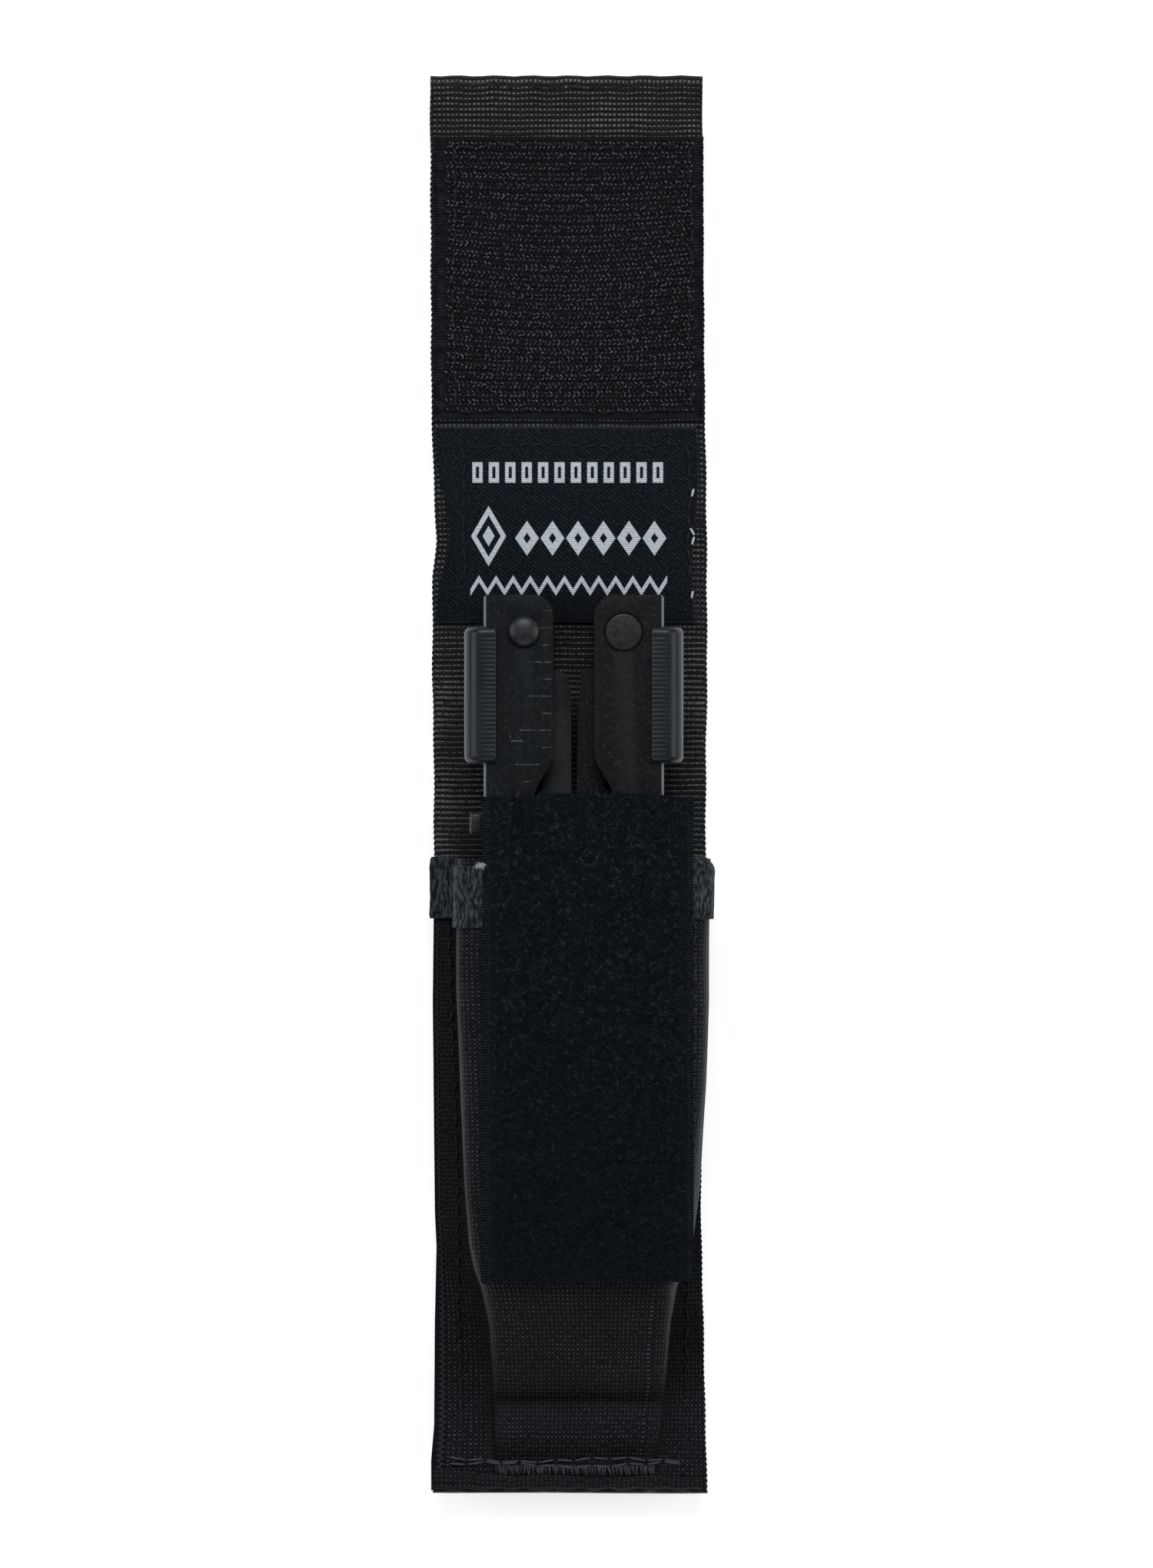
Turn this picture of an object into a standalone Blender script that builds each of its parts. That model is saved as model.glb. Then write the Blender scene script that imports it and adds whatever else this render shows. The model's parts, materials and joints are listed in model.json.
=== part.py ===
"""Sliding-head plier multi-tool stowed in its open belt sheath.

The sheath lies on its back: +X to the right across the webbing, +Y along it towards
the flap's end, +Z up through the thickness. The tool stands in the pouch with its
plier end towards +Y. Metres throughout.
"""

from math import cos, log, pi, sin

import bmesh
import bpy
from mathutils import Matrix, Vector

# ---------------------------------------------------------------- driving dimensions
webbing_width = 0.0508
webbing_thickness = 0.0018
sheath_length = 0.2653
hem_length = 0.0145

strap_width = 0.0381
strap_thickness = 0.0015
belt_gap = 0.0052
belt_height = 0.0580
strap_ramp = 0.0050
strap_upper_tab = 0.0120
belt_loop_top = 0.0020

hook_thickness = 0.0019
hook_width = 0.0504
hook_length = 0.0528
label_thickness = 0.0004
label_width = 0.0485
label_length = 0.0367
label_below_tool_top = 0.0050
hook_above_label = 0.0014

tool_length = 0.1257
tool_width = 0.0335
tool_thickness = 0.0170
tool_top = 0.0351
tool_offset = 0.0012
handle_gap = 0.0076
sheet = 0.0012
notch_depth = 0.0036
notch_start = 0.0293
notch_run = 0.0088
outer_web_length = 0.0510
slider_reach = 0.0820

pouch_mouth_below_top = 0.0491
pouch_fabric = 0.0010
pouch_hem_length = 0.0063
pouch_left_ease = 0.00345
pouch_right_ease = 0.00565
pouch_front_ease = 0.0020
pouch_right_bulge = 0.0022
pouch_flange = 0.0014
pouch_corner = 0.0017
binding_length = 0.0110
binding_thickness = 0.0008
loop_width = 0.0406
loop_length = 0.0901
loop_thickness = 0.0020
loop_above_mouth = 0.0116
loop_offset = 0.0043

gap = 0.0003
stitched_gap = 0.0003

# ---------------------------------------------------------------- levels and places
pouch_left = tool_offset - tool_width / 2 - pouch_left_ease
pouch_right = tool_offset + tool_width / 2 + pouch_right_ease
pouch_right_reach = pouch_right + pouch_right_bulge + pouch_fabric
flange_reach = max(webbing_width / 2 - 0.0002, pouch_right + pouch_flange)
binding_right_reach = pouch_right_reach + stitched_gap + binding_thickness
left_reach = max(webbing_width / 2, flange_reach)
webbing_x = (left_reach - max(binding_right_reach, left_reach)) / 2
back_z = strap_thickness + belt_gap
front_z = back_z + webbing_thickness
panel_z = front_z + stitched_gap
hook_z = panel_z + hook_thickness
grip_wrap = 0.0012
tool_back_z = hook_z + gap + grip_wrap + 2 * gap
tool_front_z = tool_back_z + tool_thickness
tool_mid_z = (tool_back_z + tool_front_z) / 2
tool_x = webbing_x + tool_offset
tool_bottom = tool_top - tool_length
sheath_top = sheath_length / 2
sheath_bottom = -sheath_length / 2
mouth_y = tool_top - pouch_mouth_below_top
pouch_height = tool_front_z - panel_z + pouch_front_ease
pouch_front_z = panel_z + pouch_height + pouch_fabric
loop_z = pouch_front_z + 2 * stitched_gap + binding_thickness
loop_front_z = loop_z + loop_thickness

# The flap folds about a line half way between the hook and the loop it meets.
fold_y = tool_top + 0.0024
fold_z = (hook_z + loop_front_z + gap) / 2


# ---------------------------------------------------------------- scene and materials
for old in list(bpy.data.objects):
    bpy.data.objects.remove(old, do_unlink=True)


def finish(name, colour, roughness, metallic=0.0):
    made = bpy.data.materials.new(name)
    made.use_nodes = True
    shader = made.node_tree.nodes["Principled BSDF"]
    shader.inputs["Base Color"].default_value = (*colour, 1.0)
    shader.inputs["Roughness"].default_value = roughness
    shader.inputs["Metallic"].default_value = metallic
    return made


black_webbing = finish("black_webbing", (0.012, 0.012, 0.012), 0.85)
black_hook_tape = finish("black_hook_tape", (0.010, 0.011, 0.012), 0.6)
black_loop_tape = finish("black_loop_tape", (0.006, 0.008, 0.010), 0.95)
black_cordura = finish("black_cordura", (0.014, 0.012, 0.012), 0.9)
grey_binding = finish("grey_binding", (0.030, 0.034, 0.038), 0.9)
label_satin = finish("label_satin", (0.012, 0.014, 0.018), 0.5)
oxide_steel = finish("oxide_steel", (0.022, 0.020, 0.018), 0.42, 0.6)
dark_steel = finish("dark_steel", (0.016, 0.017, 0.018), 0.38, 0.7)
blade_steel = finish("blade_steel", (0.30, 0.31, 0.32), 0.3, 1.0)
grip_polymer = finish("grip_polymer", (0.020, 0.024, 0.026), 0.45)
spring_steel = finish("spring_steel", (0.35, 0.35, 0.36), 0.35, 1.0)


# ---------------------------------------------------------------- shaping helpers
def add_mesh(name, shape, material=None):
    bmesh.ops.recalc_face_normals(shape, faces=shape.faces)
    mesh = bpy.data.meshes.new(name)
    shape.to_mesh(mesh)
    shape.free()
    piece = bpy.data.objects.new(name, mesh)
    bpy.context.scene.collection.objects.link(piece)
    if material:
        mesh.materials.append(material)
    return piece


def prism(name, outline, low, high, material=None, along="Z"):
    """An outline extruded along an axis: (x, y) along Z, (y, z) along X."""
    shape = bmesh.new()
    if along == "Z":
        points = [(a, b, low) for a, b in outline]
        way = Vector((0, 0, high - low))
    else:
        points = [(low, a, b) for a, b in outline]
        way = Vector((high - low, 0, 0))
    face = shape.faces.new([shape.verts.new(point) for point in points])
    swept = bmesh.ops.extrude_face_region(shape, geom=[face])
    moved = [item for item in swept["geom"] if isinstance(item, bmesh.types.BMVert)]
    bmesh.ops.translate(shape, verts=moved, vec=way)
    return add_mesh(name, shape, material)


def block(name, low, high, material=None):
    outline = [(low[0], low[1]), (high[0], low[1]), (high[0], high[1]), (low[0], high[1])]
    return prism(name, outline, low[2], high[2], material)


def turned(name, profile, centre, material=None, sides=32):
    """A profile of (radius, height) turned about the upright axis through the centre."""
    shape = bmesh.new()
    points = [shape.verts.new((radius, 0, height)) for radius, height in profile]
    edges = [shape.edges.new(pair) for pair in zip(points, points[1:])]
    bmesh.ops.spin(
        shape, geom=points + edges, cent=(0, 0, 0), axis=(0, 0, 1), angle=2 * pi, steps=sides
    )
    bmesh.ops.remove_doubles(shape, verts=shape.verts, dist=1e-6)
    bmesh.ops.translate(shape, verts=shape.verts, vec=centre)
    piece = add_mesh(name, shape, material)
    smooth(piece)
    return piece


def drum(name, radius, low, high, place, sides, material=None):
    """An upright cylinder between two heights at (x, y)."""
    profile = [(0, low), (radius, low), (radius, high), (0, high)]
    return turned(name, profile, (place[0], place[1], 0), material, sides)


def smooth(piece, angle=0.6):
    piece.data.shade_smooth()
    piece.data.set_sharp_from_angle(angle=angle)


def helper(piece):
    piece.hide_render = True
    piece.display_type = "WIRE"
    return piece


def cut(piece, *cutters):
    for cutter in cutters:
        step = piece.modifiers.new("cut_" + cutter.name, "BOOLEAN")
        step.operation = "DIFFERENCE"
        step.solver = "EXACT"
        step.object = helper(cutter)
    return piece


def join(piece, *others):
    for other in others:
        step = piece.modifiers.new("join_" + other.name, "BOOLEAN")
        step.operation = "UNION"
        step.solver = "EXACT"
        step.object = helper(other)
    return piece


def soften(piece, width, segments=2):
    step = piece.modifiers.new("soft_edges", "BEVEL")
    step.width = width
    step.segments = segments
    step.limit_method = "ANGLE"
    step.angle_limit = 0.8
    return piece


def axis_empty(name, place, *pieces):
    """An empty on a joint's axis, which carries the pieces that move about it."""
    carrier = bpy.data.objects.new(name, None)
    carrier.location = place
    bpy.context.scene.collection.objects.link(carrier)
    for piece in pieces:
        piece.parent = carrier
        piece.matrix_parent_inverse = Matrix.Translation(-Vector(place))
    return carrier


# ---------------------------------------------------------------- webbing and belt loop
def webbing():
    """One length of webbing, parted where the flap folds, with its end hemmed."""
    half = webbing_width / 2
    lower = prism(
        "backing_webbing",
        [
            (sheath_bottom, back_z),
            (fold_y - gap / 2, back_z),
            (fold_y - gap / 2, front_z),
            (sheath_bottom, front_z),
        ],
        webbing_x - half,
        webbing_x + half,
        black_webbing,
        "X",
    )
    hem_z = back_z - webbing_thickness
    upper = prism(
        "flap_webbing",
        [
            (fold_y + gap / 2, back_z),
            (sheath_top - hem_length, back_z),
            (sheath_top - hem_length, hem_z),
            (sheath_top, hem_z),
            (sheath_top, front_z),
            (fold_y + gap / 2, front_z),
        ],
        webbing_x - half,
        webbing_x + half,
        black_webbing,
        "X",
    )
    return lower, upper


def belt_loop():
    """A strap behind the backing: sewn at the bottom edge and below the flap, open between."""
    tab = back_z - stitched_gap
    flat_top = belt_loop_top
    flat_bottom = flat_top - belt_height
    outer = [
        (sheath_bottom, tab - strap_thickness),
        (flat_bottom - strap_ramp, tab - strap_thickness),
        (flat_bottom, 0),
        (flat_top, 0),
        (flat_top + strap_ramp, tab - strap_thickness),
        (flat_top + strap_ramp + strap_upper_tab, tab - strap_thickness),
    ]
    slant = strap_thickness / 4
    inner = [
        (flat_top + strap_ramp + strap_upper_tab, tab),
        (flat_top + strap_ramp - slant, tab),
        (flat_top - slant, strap_thickness),
        (flat_bottom + slant, strap_thickness),
        (flat_bottom - strap_ramp + slant, tab),
        (sheath_bottom, tab),
    ]
    half = strap_width / 2
    return prism(
        "belt_loop", outer + inner, webbing_x - half, webbing_x + half, black_webbing, "X"
    )


def panels():
    """The hook panel on the flap, and the woven label, parted where the flap folds."""
    label_bottom = tool_top - label_below_tool_top
    label_top = label_bottom + label_length
    label_middle = webbing_x - 0.0003
    low, high = label_middle - label_width / 2, label_middle + label_width / 2
    top_z = panel_z + label_thickness
    lower = block(
        "label_lower", (low, label_bottom, panel_z), (high, fold_y - gap / 2, top_z), label_satin
    )
    upper = block(
        "label_upper", (low, fold_y + gap / 2, panel_z), (high, label_top, top_z), label_satin
    )
    hook_bottom = label_top + hook_above_label
    hook_right = webbing_x + webbing_width / 2
    hook = block(
        "hook_panel",
        (hook_right - hook_width, hook_bottom, panel_z),
        (hook_right, hook_bottom + hook_length, hook_z),
        black_hook_tape,
    )
    soften(hook, 0.0004)
    return lower, upper, hook


# ---------------------------------------------------------------- pouch
def pouch_station(y):
    """Left side, right side, right bulge, front height and squareness of the pouch at y."""
    past_tool = max(0.0, tool_bottom - y)
    below_mouth = max(0.0, mouth_y - y)
    end = tool_bottom - (sheath_bottom + pouch_hem_length)
    taper = min(1.0, below_mouth / (mouth_y - tool_bottom))
    close = min(1.0, past_tool / end)
    left = pouch_left + 0.0018 * taper + 0.0014 * close
    right = pouch_right - 0.0016 * taper - 0.0014 * close
    bulge = pouch_right_bulge * (1 - taper)
    fall = 0.5 + 0.5 * cos(pi * min(1.0, close / 0.86))
    height = pouch_height * fall + 0.0008 * (1 - fall) * (1 - close)
    corner = pouch_corner + 0.0022 * close
    half = (right - left) / 2
    squareness = log(2) * max(half / corner, pouch_height / (corner + 0.0003))
    return webbing_x + left, webbing_x + right, bulge, height, squareness


def pouch_section(y, offset, flange):
    """Points (x, z) across the sheet at y: flange, wall, front, wall and flange."""
    left, right, bulge, height, squareness = pouch_station(y)
    middle, half = (left + right) / 2, (right - left) / 2 + offset
    points = [(webbing_x - flange, panel_z + offset)]
    quarter = (0.0, 0.04, 0.13, 0.27, 0.45, 0.70)
    turns = [2 - t for t in quarter] + [1.0] + [t for t in reversed(quarter)]
    for turn in turns:
        angle = turn * pi / 2
        across = abs(cos(angle)) ** (2 / squareness)
        up = abs(sin(angle)) ** (2 / squareness)
        side = 1 if cos(angle) > 0 else -1
        swell = bulge * sin(pi * min(1, up)) if side > 0 else 0
        points.append(
            (middle + side * half * across + swell, panel_z + offset + height * up)
        )
    points.append((webbing_x + flange, panel_z + offset))
    return points


def pouch_sheet(name, stations, inner_offset, thickness, flange, material):
    """A sheet lofted along Y between its inner and its outer sections."""
    shape = bmesh.new()
    inner, outer = [], []
    for y in stations:
        inside = pouch_section(y, inner_offset, flange)
        outside = pouch_section(y, inner_offset + thickness, flange)
        inner.append([shape.verts.new((x, y, z)) for x, z in inside])
        outer.append([shape.verts.new((x, y, z)) for x, z in outside])
    for rows in (inner, outer):
        for a, b in zip(rows, rows[1:]):
            for i in range(len(a) - 1):
                shape.faces.new((a[i], a[i + 1], b[i + 1], b[i]))
    for end in (0, -1):
        for i in range(len(inner[0]) - 1):
            shape.faces.new(
                (inner[end][i], inner[end][i + 1], outer[end][i + 1], outer[end][i])
            )
    for side in (0, -1):
        for j in range(len(stations) - 1):
            shape.faces.new(
                (inner[j][side], inner[j + 1][side], outer[j + 1][side], outer[j][side])
            )
    piece = add_mesh(name, shape, material)
    smooth(piece, 0.9)
    return piece


def pouch():
    """The fabric pocket, sewn to the webbing along both flanges and flat at its foot."""
    foot = sheath_bottom + 0.0004
    flat = sheath_bottom + pouch_hem_length
    stations = [mouth_y - (mouth_y - tool_bottom) * i / 4 for i in range(5)]
    stations += [tool_bottom - (tool_bottom - flat) * i / 9 for i in range(1, 10)]
    stations.append(foot)
    body = pouch_sheet("pouch", stations, 0.0, pouch_fabric, flange_reach, black_cordura)
    binding_stations = [mouth_y - 0.0002 - binding_length * i / 2 for i in range(3)]
    binding = pouch_sheet(
        "mouth_binding",
        binding_stations,
        pouch_fabric + stitched_gap,
        binding_thickness,
        flange_reach + 0.0002,
        grey_binding,
    )
    return body, binding


def loop_panel():
    """A rectangle of loop tape on the pouch's front, whose top stands free of the pouch."""
    top = mouth_y + loop_above_mouth
    middle = webbing_x + loop_offset
    panel = block(
        "loop_panel",
        (middle - loop_width / 2, top - loop_length, loop_z),
        (middle + loop_width / 2, top, loop_front_z),
        black_loop_tape,
    )
    return soften(panel, 0.0006)


# ---------------------------------------------------------------- handles
handle_width = (tool_width - handle_gap) / 2
pin_radius = 0.0015
hole_radius = pin_radius + gap
tang_radius = 0.0042
window_top, window_bottom = 0.0110, 0.0260
window_half = 0.0026
slot_top, slot_bottom = 0.0362, 0.0452
slot_half = 0.0020
inner_width = handle_width - notch_depth
rear_width = handle_width - 0.0010
front_rivet = (0.0075, 0.0069)
rear_pin = (rear_width - sheet - tang_radius - 0.00135, tool_length - 0.0064)


def place_x(side, across):
    """World x of a place measured inwards from a handle's outer edge."""
    return tool_x + side * (tool_width / 2 - across)


def mirrored(side, outline):
    """World (x, y) of points given as (inwards from the outer edge, down from the top)."""
    return [(place_x(side, across), tool_top - down) for across, down in outline]


def handle_outline():
    """The plate: round inner top corner, finger notch, narrow middle and round rear end."""
    corner = 0.0039
    outline = [(0.0, 0.0005), (0.0005, 0.0)]
    outline += [
        (handle_width - corner + corner * sin(i * pi / 12), corner - corner * cos(i * pi / 12))
        for i in range(7)
    ]
    for i in range(9):
        t = i / 8
        ease = t * t * (3 - 2 * t)
        outline.append((handle_width - notch_depth * ease, notch_start + notch_run * t))
    outline.append((inner_width, slider_reach + 0.0060))
    outline.append((rear_width, slider_reach + 0.0120))
    rear = 0.0040
    outline += [
        (rear_width - rear + rear * cos(i * pi / 10),
         tool_length - rear + rear * sin(i * pi / 10))
        for i in range(6)
    ]
    outline += [
        (rear - rear * sin(i * pi / 10), tool_length - rear + rear * cos(i * pi / 10))
        for i in range(6)
    ]
    return outline


def handle(side, word):
    """A channel folded from sheet steel, open inwards at the front and outwards behind."""
    plate = prism(
        word + "_handle", mirrored(side, handle_outline()), tool_back_z, tool_front_z, oxide_steel
    )
    inside_low, inside_high = tool_back_z + sheet, tool_front_z - sheet
    front = prism(
        word + "_front_hollow",
        mirrored(
            side,
            [
                (sheet, -0.002),
                (handle_width + 0.002, -0.002),
                (handle_width + 0.002, slider_reach),
                (sheet, slider_reach),
            ],
        ),
        inside_low,
        inside_high,
    )
    rear = prism(
        word + "_rear_hollow",
        mirrored(
            side,
            [
                (-0.002, outer_web_length),
                (inner_width - sheet, outer_web_length),
                (inner_width - sheet, slider_reach + 0.0060),
                (rear_width - sheet, slider_reach + 0.0120),
                (rear_width - sheet, tool_length + 0.002),
                (-0.002, tool_length + 0.002),
            ],
        ),
        inside_low,
        inside_high,
    )
    window = prism(
        word + "_grip_window",
        mirrored(
            side,
            [
                (-0.002, window_top),
                (sheet + 0.002, window_top),
                (sheet + 0.002, window_bottom),
                (-0.002, window_bottom),
            ],
        ),
        tool_mid_z - window_half - gap,
        tool_mid_z + window_half + gap,
    )
    slot = prism(
        word + "_slider_slot",
        mirrored(
            side,
            [
                (-0.002, slot_top),
                (sheet + 0.002, slot_top),
                (sheet + 0.002, slot_bottom),
                (-0.002, slot_bottom),
            ],
        ),
        tool_mid_z - slot_half,
        tool_mid_z + slot_half,
    )
    holes = []
    for name, (across, down) in (("front", front_rivet), ("rear", rear_pin)):
        place = (place_x(side, across), tool_top - down)
        holes.append(
            drum(
                f"{word}_{name}_hole",
                hole_radius,
                tool_back_z - 0.01,
                tool_front_z + 0.01,
                place,
                24,
            )
        )
    cut(plate, front, rear, window, slot, *holes)
    return plate


def rivet(name, side, spot, head_radius, dome, material):
    """A solid rivet through both plates, with a head on each face."""
    across, down = spot
    low, high = tool_back_z - gap, tool_front_z + gap
    head = 0.0007
    top = [(head_radius, high), (head_radius, high + head * 0.5), (head_radius * 0.86, high + head)]
    if dome:
        top = [(head_radius, high)]
        top += [
            (head_radius * cos(i * pi / 12), high + 0.0003 + 0.0011 * sin(i * pi / 12))
            for i in range(6)
        ]
        top.append((0, high + 0.0014))
    else:
        top.append((0, high + head))
    profile = [
        (0, low - head),
        (head_radius * 0.9, low - head),
        (head_radius, low),
        (pin_radius, low),
        (pin_radius, high),
    ]
    centre = (place_x(side, across), tool_top - down, 0)
    return turned(name, profile + top, centre, material, sides=32)


# ---------------------------------------------------------------- release grips
grip_length = 0.0253
grip_top = 0.0060
grip_proud = 0.0036
grip_travel = 0.0010
grip_lap = 0.0023
web_clear = grip_travel + 2 * gap


def grip(side, word):
    """A release button that hooks over both faces of a handle's outer edge."""
    depth = tool_thickness / 2 + gap + grip_wrap
    inner_depth = tool_thickness / 2 + gap
    corner = 0.0028
    flat = corner - grip_proud
    front = [(grip_lap, depth), (flat, depth)]
    for i in range(1, 6):
        turn = i * pi / 10
        front.append((flat - corner * sin(turn), depth - corner + corner * cos(turn)))
    section = front + [(across, -up) for across, up in reversed(front)]
    section += [(grip_lap, -inner_depth), (-web_clear, -inner_depth)]
    section += [(-web_clear, inner_depth), (grip_lap, inner_depth)]
    body = grip_body(word + "_release_grip", side, section, 2 * len(front))
    stem = block_between(
        word + "_grip_stem",
        side,
        (-web_clear - 0.0008, sheet + gap + 0.0006),
        (window_top + gap, window_bottom - gap),
        window_half,
    )
    plate = block_between(
        word + "_grip_plate",
        side,
        (sheet + gap, sheet + gap + 0.0010),
        (window_top - 0.0015, window_bottom + 0.0015),
        window_half + 0.0014,
    )
    join(body, stem, plate)
    return body


def grip_body(name, side, section, skin_points):
    """The section swept down the handle's edge, with its outer skin drawn in at the ends."""
    stations = ((0.0, 0.0012), (0.0006, 0.0003), (0.0016, 0.0))
    stations += tuple((grip_length - down, inset) for down, inset in reversed(stations))
    shape = bmesh.new()
    rows = []
    for down, inset in stations:
        row = []
        for i, (across, up) in enumerate(section):
            if i < skin_points:
                across = min(across + inset, grip_lap)
                up = up * (1 - 0.06 * inset / grip_wrap)
            y = tool_top - grip_top - down
            row.append(shape.verts.new((place_x(side, across), y, tool_mid_z + up)))
        rows.append(row)
    for a, b in zip(rows, rows[1:]):
        for i in range(len(a)):
            j = (i + 1) % len(a)
            shape.faces.new((a[i], a[j], b[j], b[i]))
    shape.faces.new(rows[0])
    shape.faces.new(rows[-1])
    piece = add_mesh(name, shape, grip_polymer)
    smooth(piece, 0.7)
    return piece


def block_between(name, side, across, down, half, material=None):
    """A block given by its places across and down a handle, and its half depth."""
    xs = sorted((place_x(side, across[0]), place_x(side, across[1])))
    return block(
        name,
        (xs[0], tool_top - down[1], tool_mid_z - half),
        (xs[1], tool_top - down[0], tool_mid_z + half),
        material,
    )


def grip_spring(side, word):
    """A flat ring spring round the button's stem, between the web and the button."""
    ring = block_between(
        word + "_grip_spring", side, (-web_clear + gap, -gap),
        (window_top - 0.0022, window_bottom + 0.0022), window_half + 0.0022, spring_steel,
    )
    hole = block_between(
        word + "_spring_hole", side, (-web_clear - 0.001, 0.001),
        (window_top - gap, window_bottom + gap), window_half + 2 * gap,
    )
    return cut(ring, hole)


def lock_slider(side, word):
    """A thumb stud outside the edge, its stem through the slot and its plate inside."""
    stud_top, stud_bottom = slot_bottom - 0.0046, slot_bottom - 0.0007
    stud = block_between(
        word + "_lock_slider", side, (-0.0026, -gap), (stud_top, stud_bottom), 0.0038, dark_steel
    )
    stem = block_between(
        word + "_slider_stem", side, (-gap - 0.0004, sheet + gap + 0.0004),
        (slot_bottom - gap - 0.0032, slot_bottom - gap), slot_half - gap,
    )
    plate = block_between(
        word + "_slider_plate", side, (sheet + gap, sheet + gap + 0.0009),
        (slot_bottom - 0.0050, slot_bottom + 0.0014), slot_half + 0.0012,
    )
    soften(stud, 0.0004)
    join(stud, stem, plate)
    return stud


# ---------------------------------------------------------------- plier head
jaw_depth = 0.0090
jaw_tip = 0.0140
pivot_down = 0.0590
pivot_radius = 0.0020
boss_radius = 0.0062
arm_down = 0.0745
arm_pin_radius = 0.0010
carrier_across = 0.0084
carrier_outer = carrier_across - 0.0034
carrier_bottom = arm_down + 0.0060


def jaw(side, word, layer):
    """A jaw, its half-lapped pivot boss and its arm, which crosses to the other side."""
    half = jaw_depth / 2
    if side < 0:
        nose = [(-0.0056, jaw_tip + 0.0020), (-0.0046, jaw_tip + 0.0002), (-0.0028, jaw_tip)]
        nose += [(-0.0018, jaw_tip + 0.0006), (-0.0010, jaw_tip + 0.0020)]
        nose += [(-0.0005, jaw_tip + 0.0042)]
    else:
        nose = [(-0.0056, jaw_tip - 0.0003), (-0.0020, jaw_tip - 0.0003)]
        nose += [(-0.0014, jaw_tip + 0.0003), (-0.0011, jaw_tip + 0.0030)]
        nose += [(-0.0007, jaw_tip + 0.0085)]
    nose += [
        (-0.0004, pivot_down - 0.0120),
        (-0.0002, pivot_down - 0.0060),
        (-boss_radius + 0.0008, pivot_down - 0.0040),
        (-0.0066, pivot_down - 0.0120),
        (-0.0058, pivot_down - 0.0240),
    ]
    outline = [(tool_x - side * across, tool_top - down) for across, down in nose]
    body = prism(word + "_jaw", outline, tool_mid_z - half, tool_mid_z + half, dark_steel)
    pivot_y = tool_top - pivot_down
    low, high = tool_mid_z - half, tool_mid_z - gap / 2
    other_low = tool_mid_z - gap / 2
    if layer > 0:
        low, high = tool_mid_z + gap / 2, tool_mid_z + half
        other_low = tool_mid_z - half - 0.002
    boss = drum(word + "_boss", boss_radius, low, high, (tool_x, pivot_y), 36)
    reach = tool_width / 2 - carrier_across
    eye = (tool_x - side * reach, tool_top - arm_down)
    arm = prism(
        word + "_arm",
        [
            (tool_x + side * 0.0030, pivot_y - 0.0020),
            (tool_x - side * 0.0052, pivot_y - 0.0022),
            (eye[0] - side * 0.0018, eye[1] + 0.0026),
            (eye[0] - side * 0.0030, eye[1]),
            (eye[0], eye[1] - 0.0030),
            (tool_x - side * 0.0010, pivot_y - 0.0088),
        ],
        low,
        high,
    )
    other_high = other_low + half + gap / 2 + 0.002
    lap_cut = drum(
        word + "_lap_cut", boss_radius + gap, other_low, other_high, (tool_x, pivot_y), 36
    )
    through_low, through_high = tool_mid_z - 0.015, tool_mid_z + 0.015
    pin_hole = drum(
        word + "_pin_hole", pivot_radius + gap, through_low, through_high, (tool_x, pivot_y), 24
    )
    eye_hole = drum(
        word + "_eye_hole", arm_pin_radius + gap, through_low, through_high, eye, 20
    )
    join(body, boss, arm)
    cut(body, lap_cut, pin_hole, eye_hole)
    return body


def plier_pivot():
    """The rivet that the two jaws turn on."""
    under = jaw_depth / 2 + gap
    over = under + 0.0008
    head = 0.0034
    profile = [(0, -over), (head, -over), (head, -under), (pivot_radius, -under)]
    profile += [(pivot_radius, under), (head, under), (head, over), (0, over)]
    centre = (tool_x, tool_top - pivot_down, tool_mid_z)
    return turned("plier_pivot", profile, centre, dark_steel)


def carrier(side, word):
    """A block that slides in a handle's channel and holds an arm's eye between its cheeks."""
    inner_half = tool_thickness / 2 - sheet - gap
    outline = [
        (carrier_outer, arm_down - 0.0050),
        (carrier_across + 0.0022, arm_down - 0.0050),
        (carrier_across + 0.0030, arm_down + 0.0042),
        (carrier_outer, carrier_bottom),
    ]
    body = prism(
        word + "_carrier",
        mirrored(side, outline),
        tool_mid_z - inner_half,
        tool_mid_z + inner_half,
        dark_steel,
    )
    slot = block_between(
        word + "_carrier_slot",
        side,
        (carrier_outer - 0.0006, carrier_across + 0.0050),
        (arm_down - 0.0070, arm_down + 0.0036),
        jaw_depth / 2 + gap,
    )
    place = (place_x(side, carrier_across), tool_top - arm_down)
    hole = drum(
        word + "_carrier_hole",
        arm_pin_radius + gap,
        tool_mid_z - 0.015,
        tool_mid_z + 0.015,
        place,
        20,
    )
    cut(body, slot, hole)
    half = inner_half - gap
    pin = drum(
        word + "_arm_pin", arm_pin_radius, tool_mid_z - half, tool_mid_z + half, place, 20,
        dark_steel,
    )
    return body, pin


# ---------------------------------------------------------------- folding implements
stack_ease = 0.00075
washer_gap = 0.0009
stack_depth = tool_thickness - 2 * sheet - 2 * stack_ease
implement_thickness = (stack_depth - 3 * washer_gap) / 4
implement_pitch = implement_thickness + washer_gap
tip_ease = 0.0053
tip_down = outer_web_length + tip_ease
slim_down = carrier_bottom + 0.0008
slim = carrier_outer - 0.0010
wide = inner_width - sheet - 0.00035
root_down = rear_pin[1] - 0.0060
tooth_pitch = 0.0030
tooth_depth = 0.0008


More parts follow.
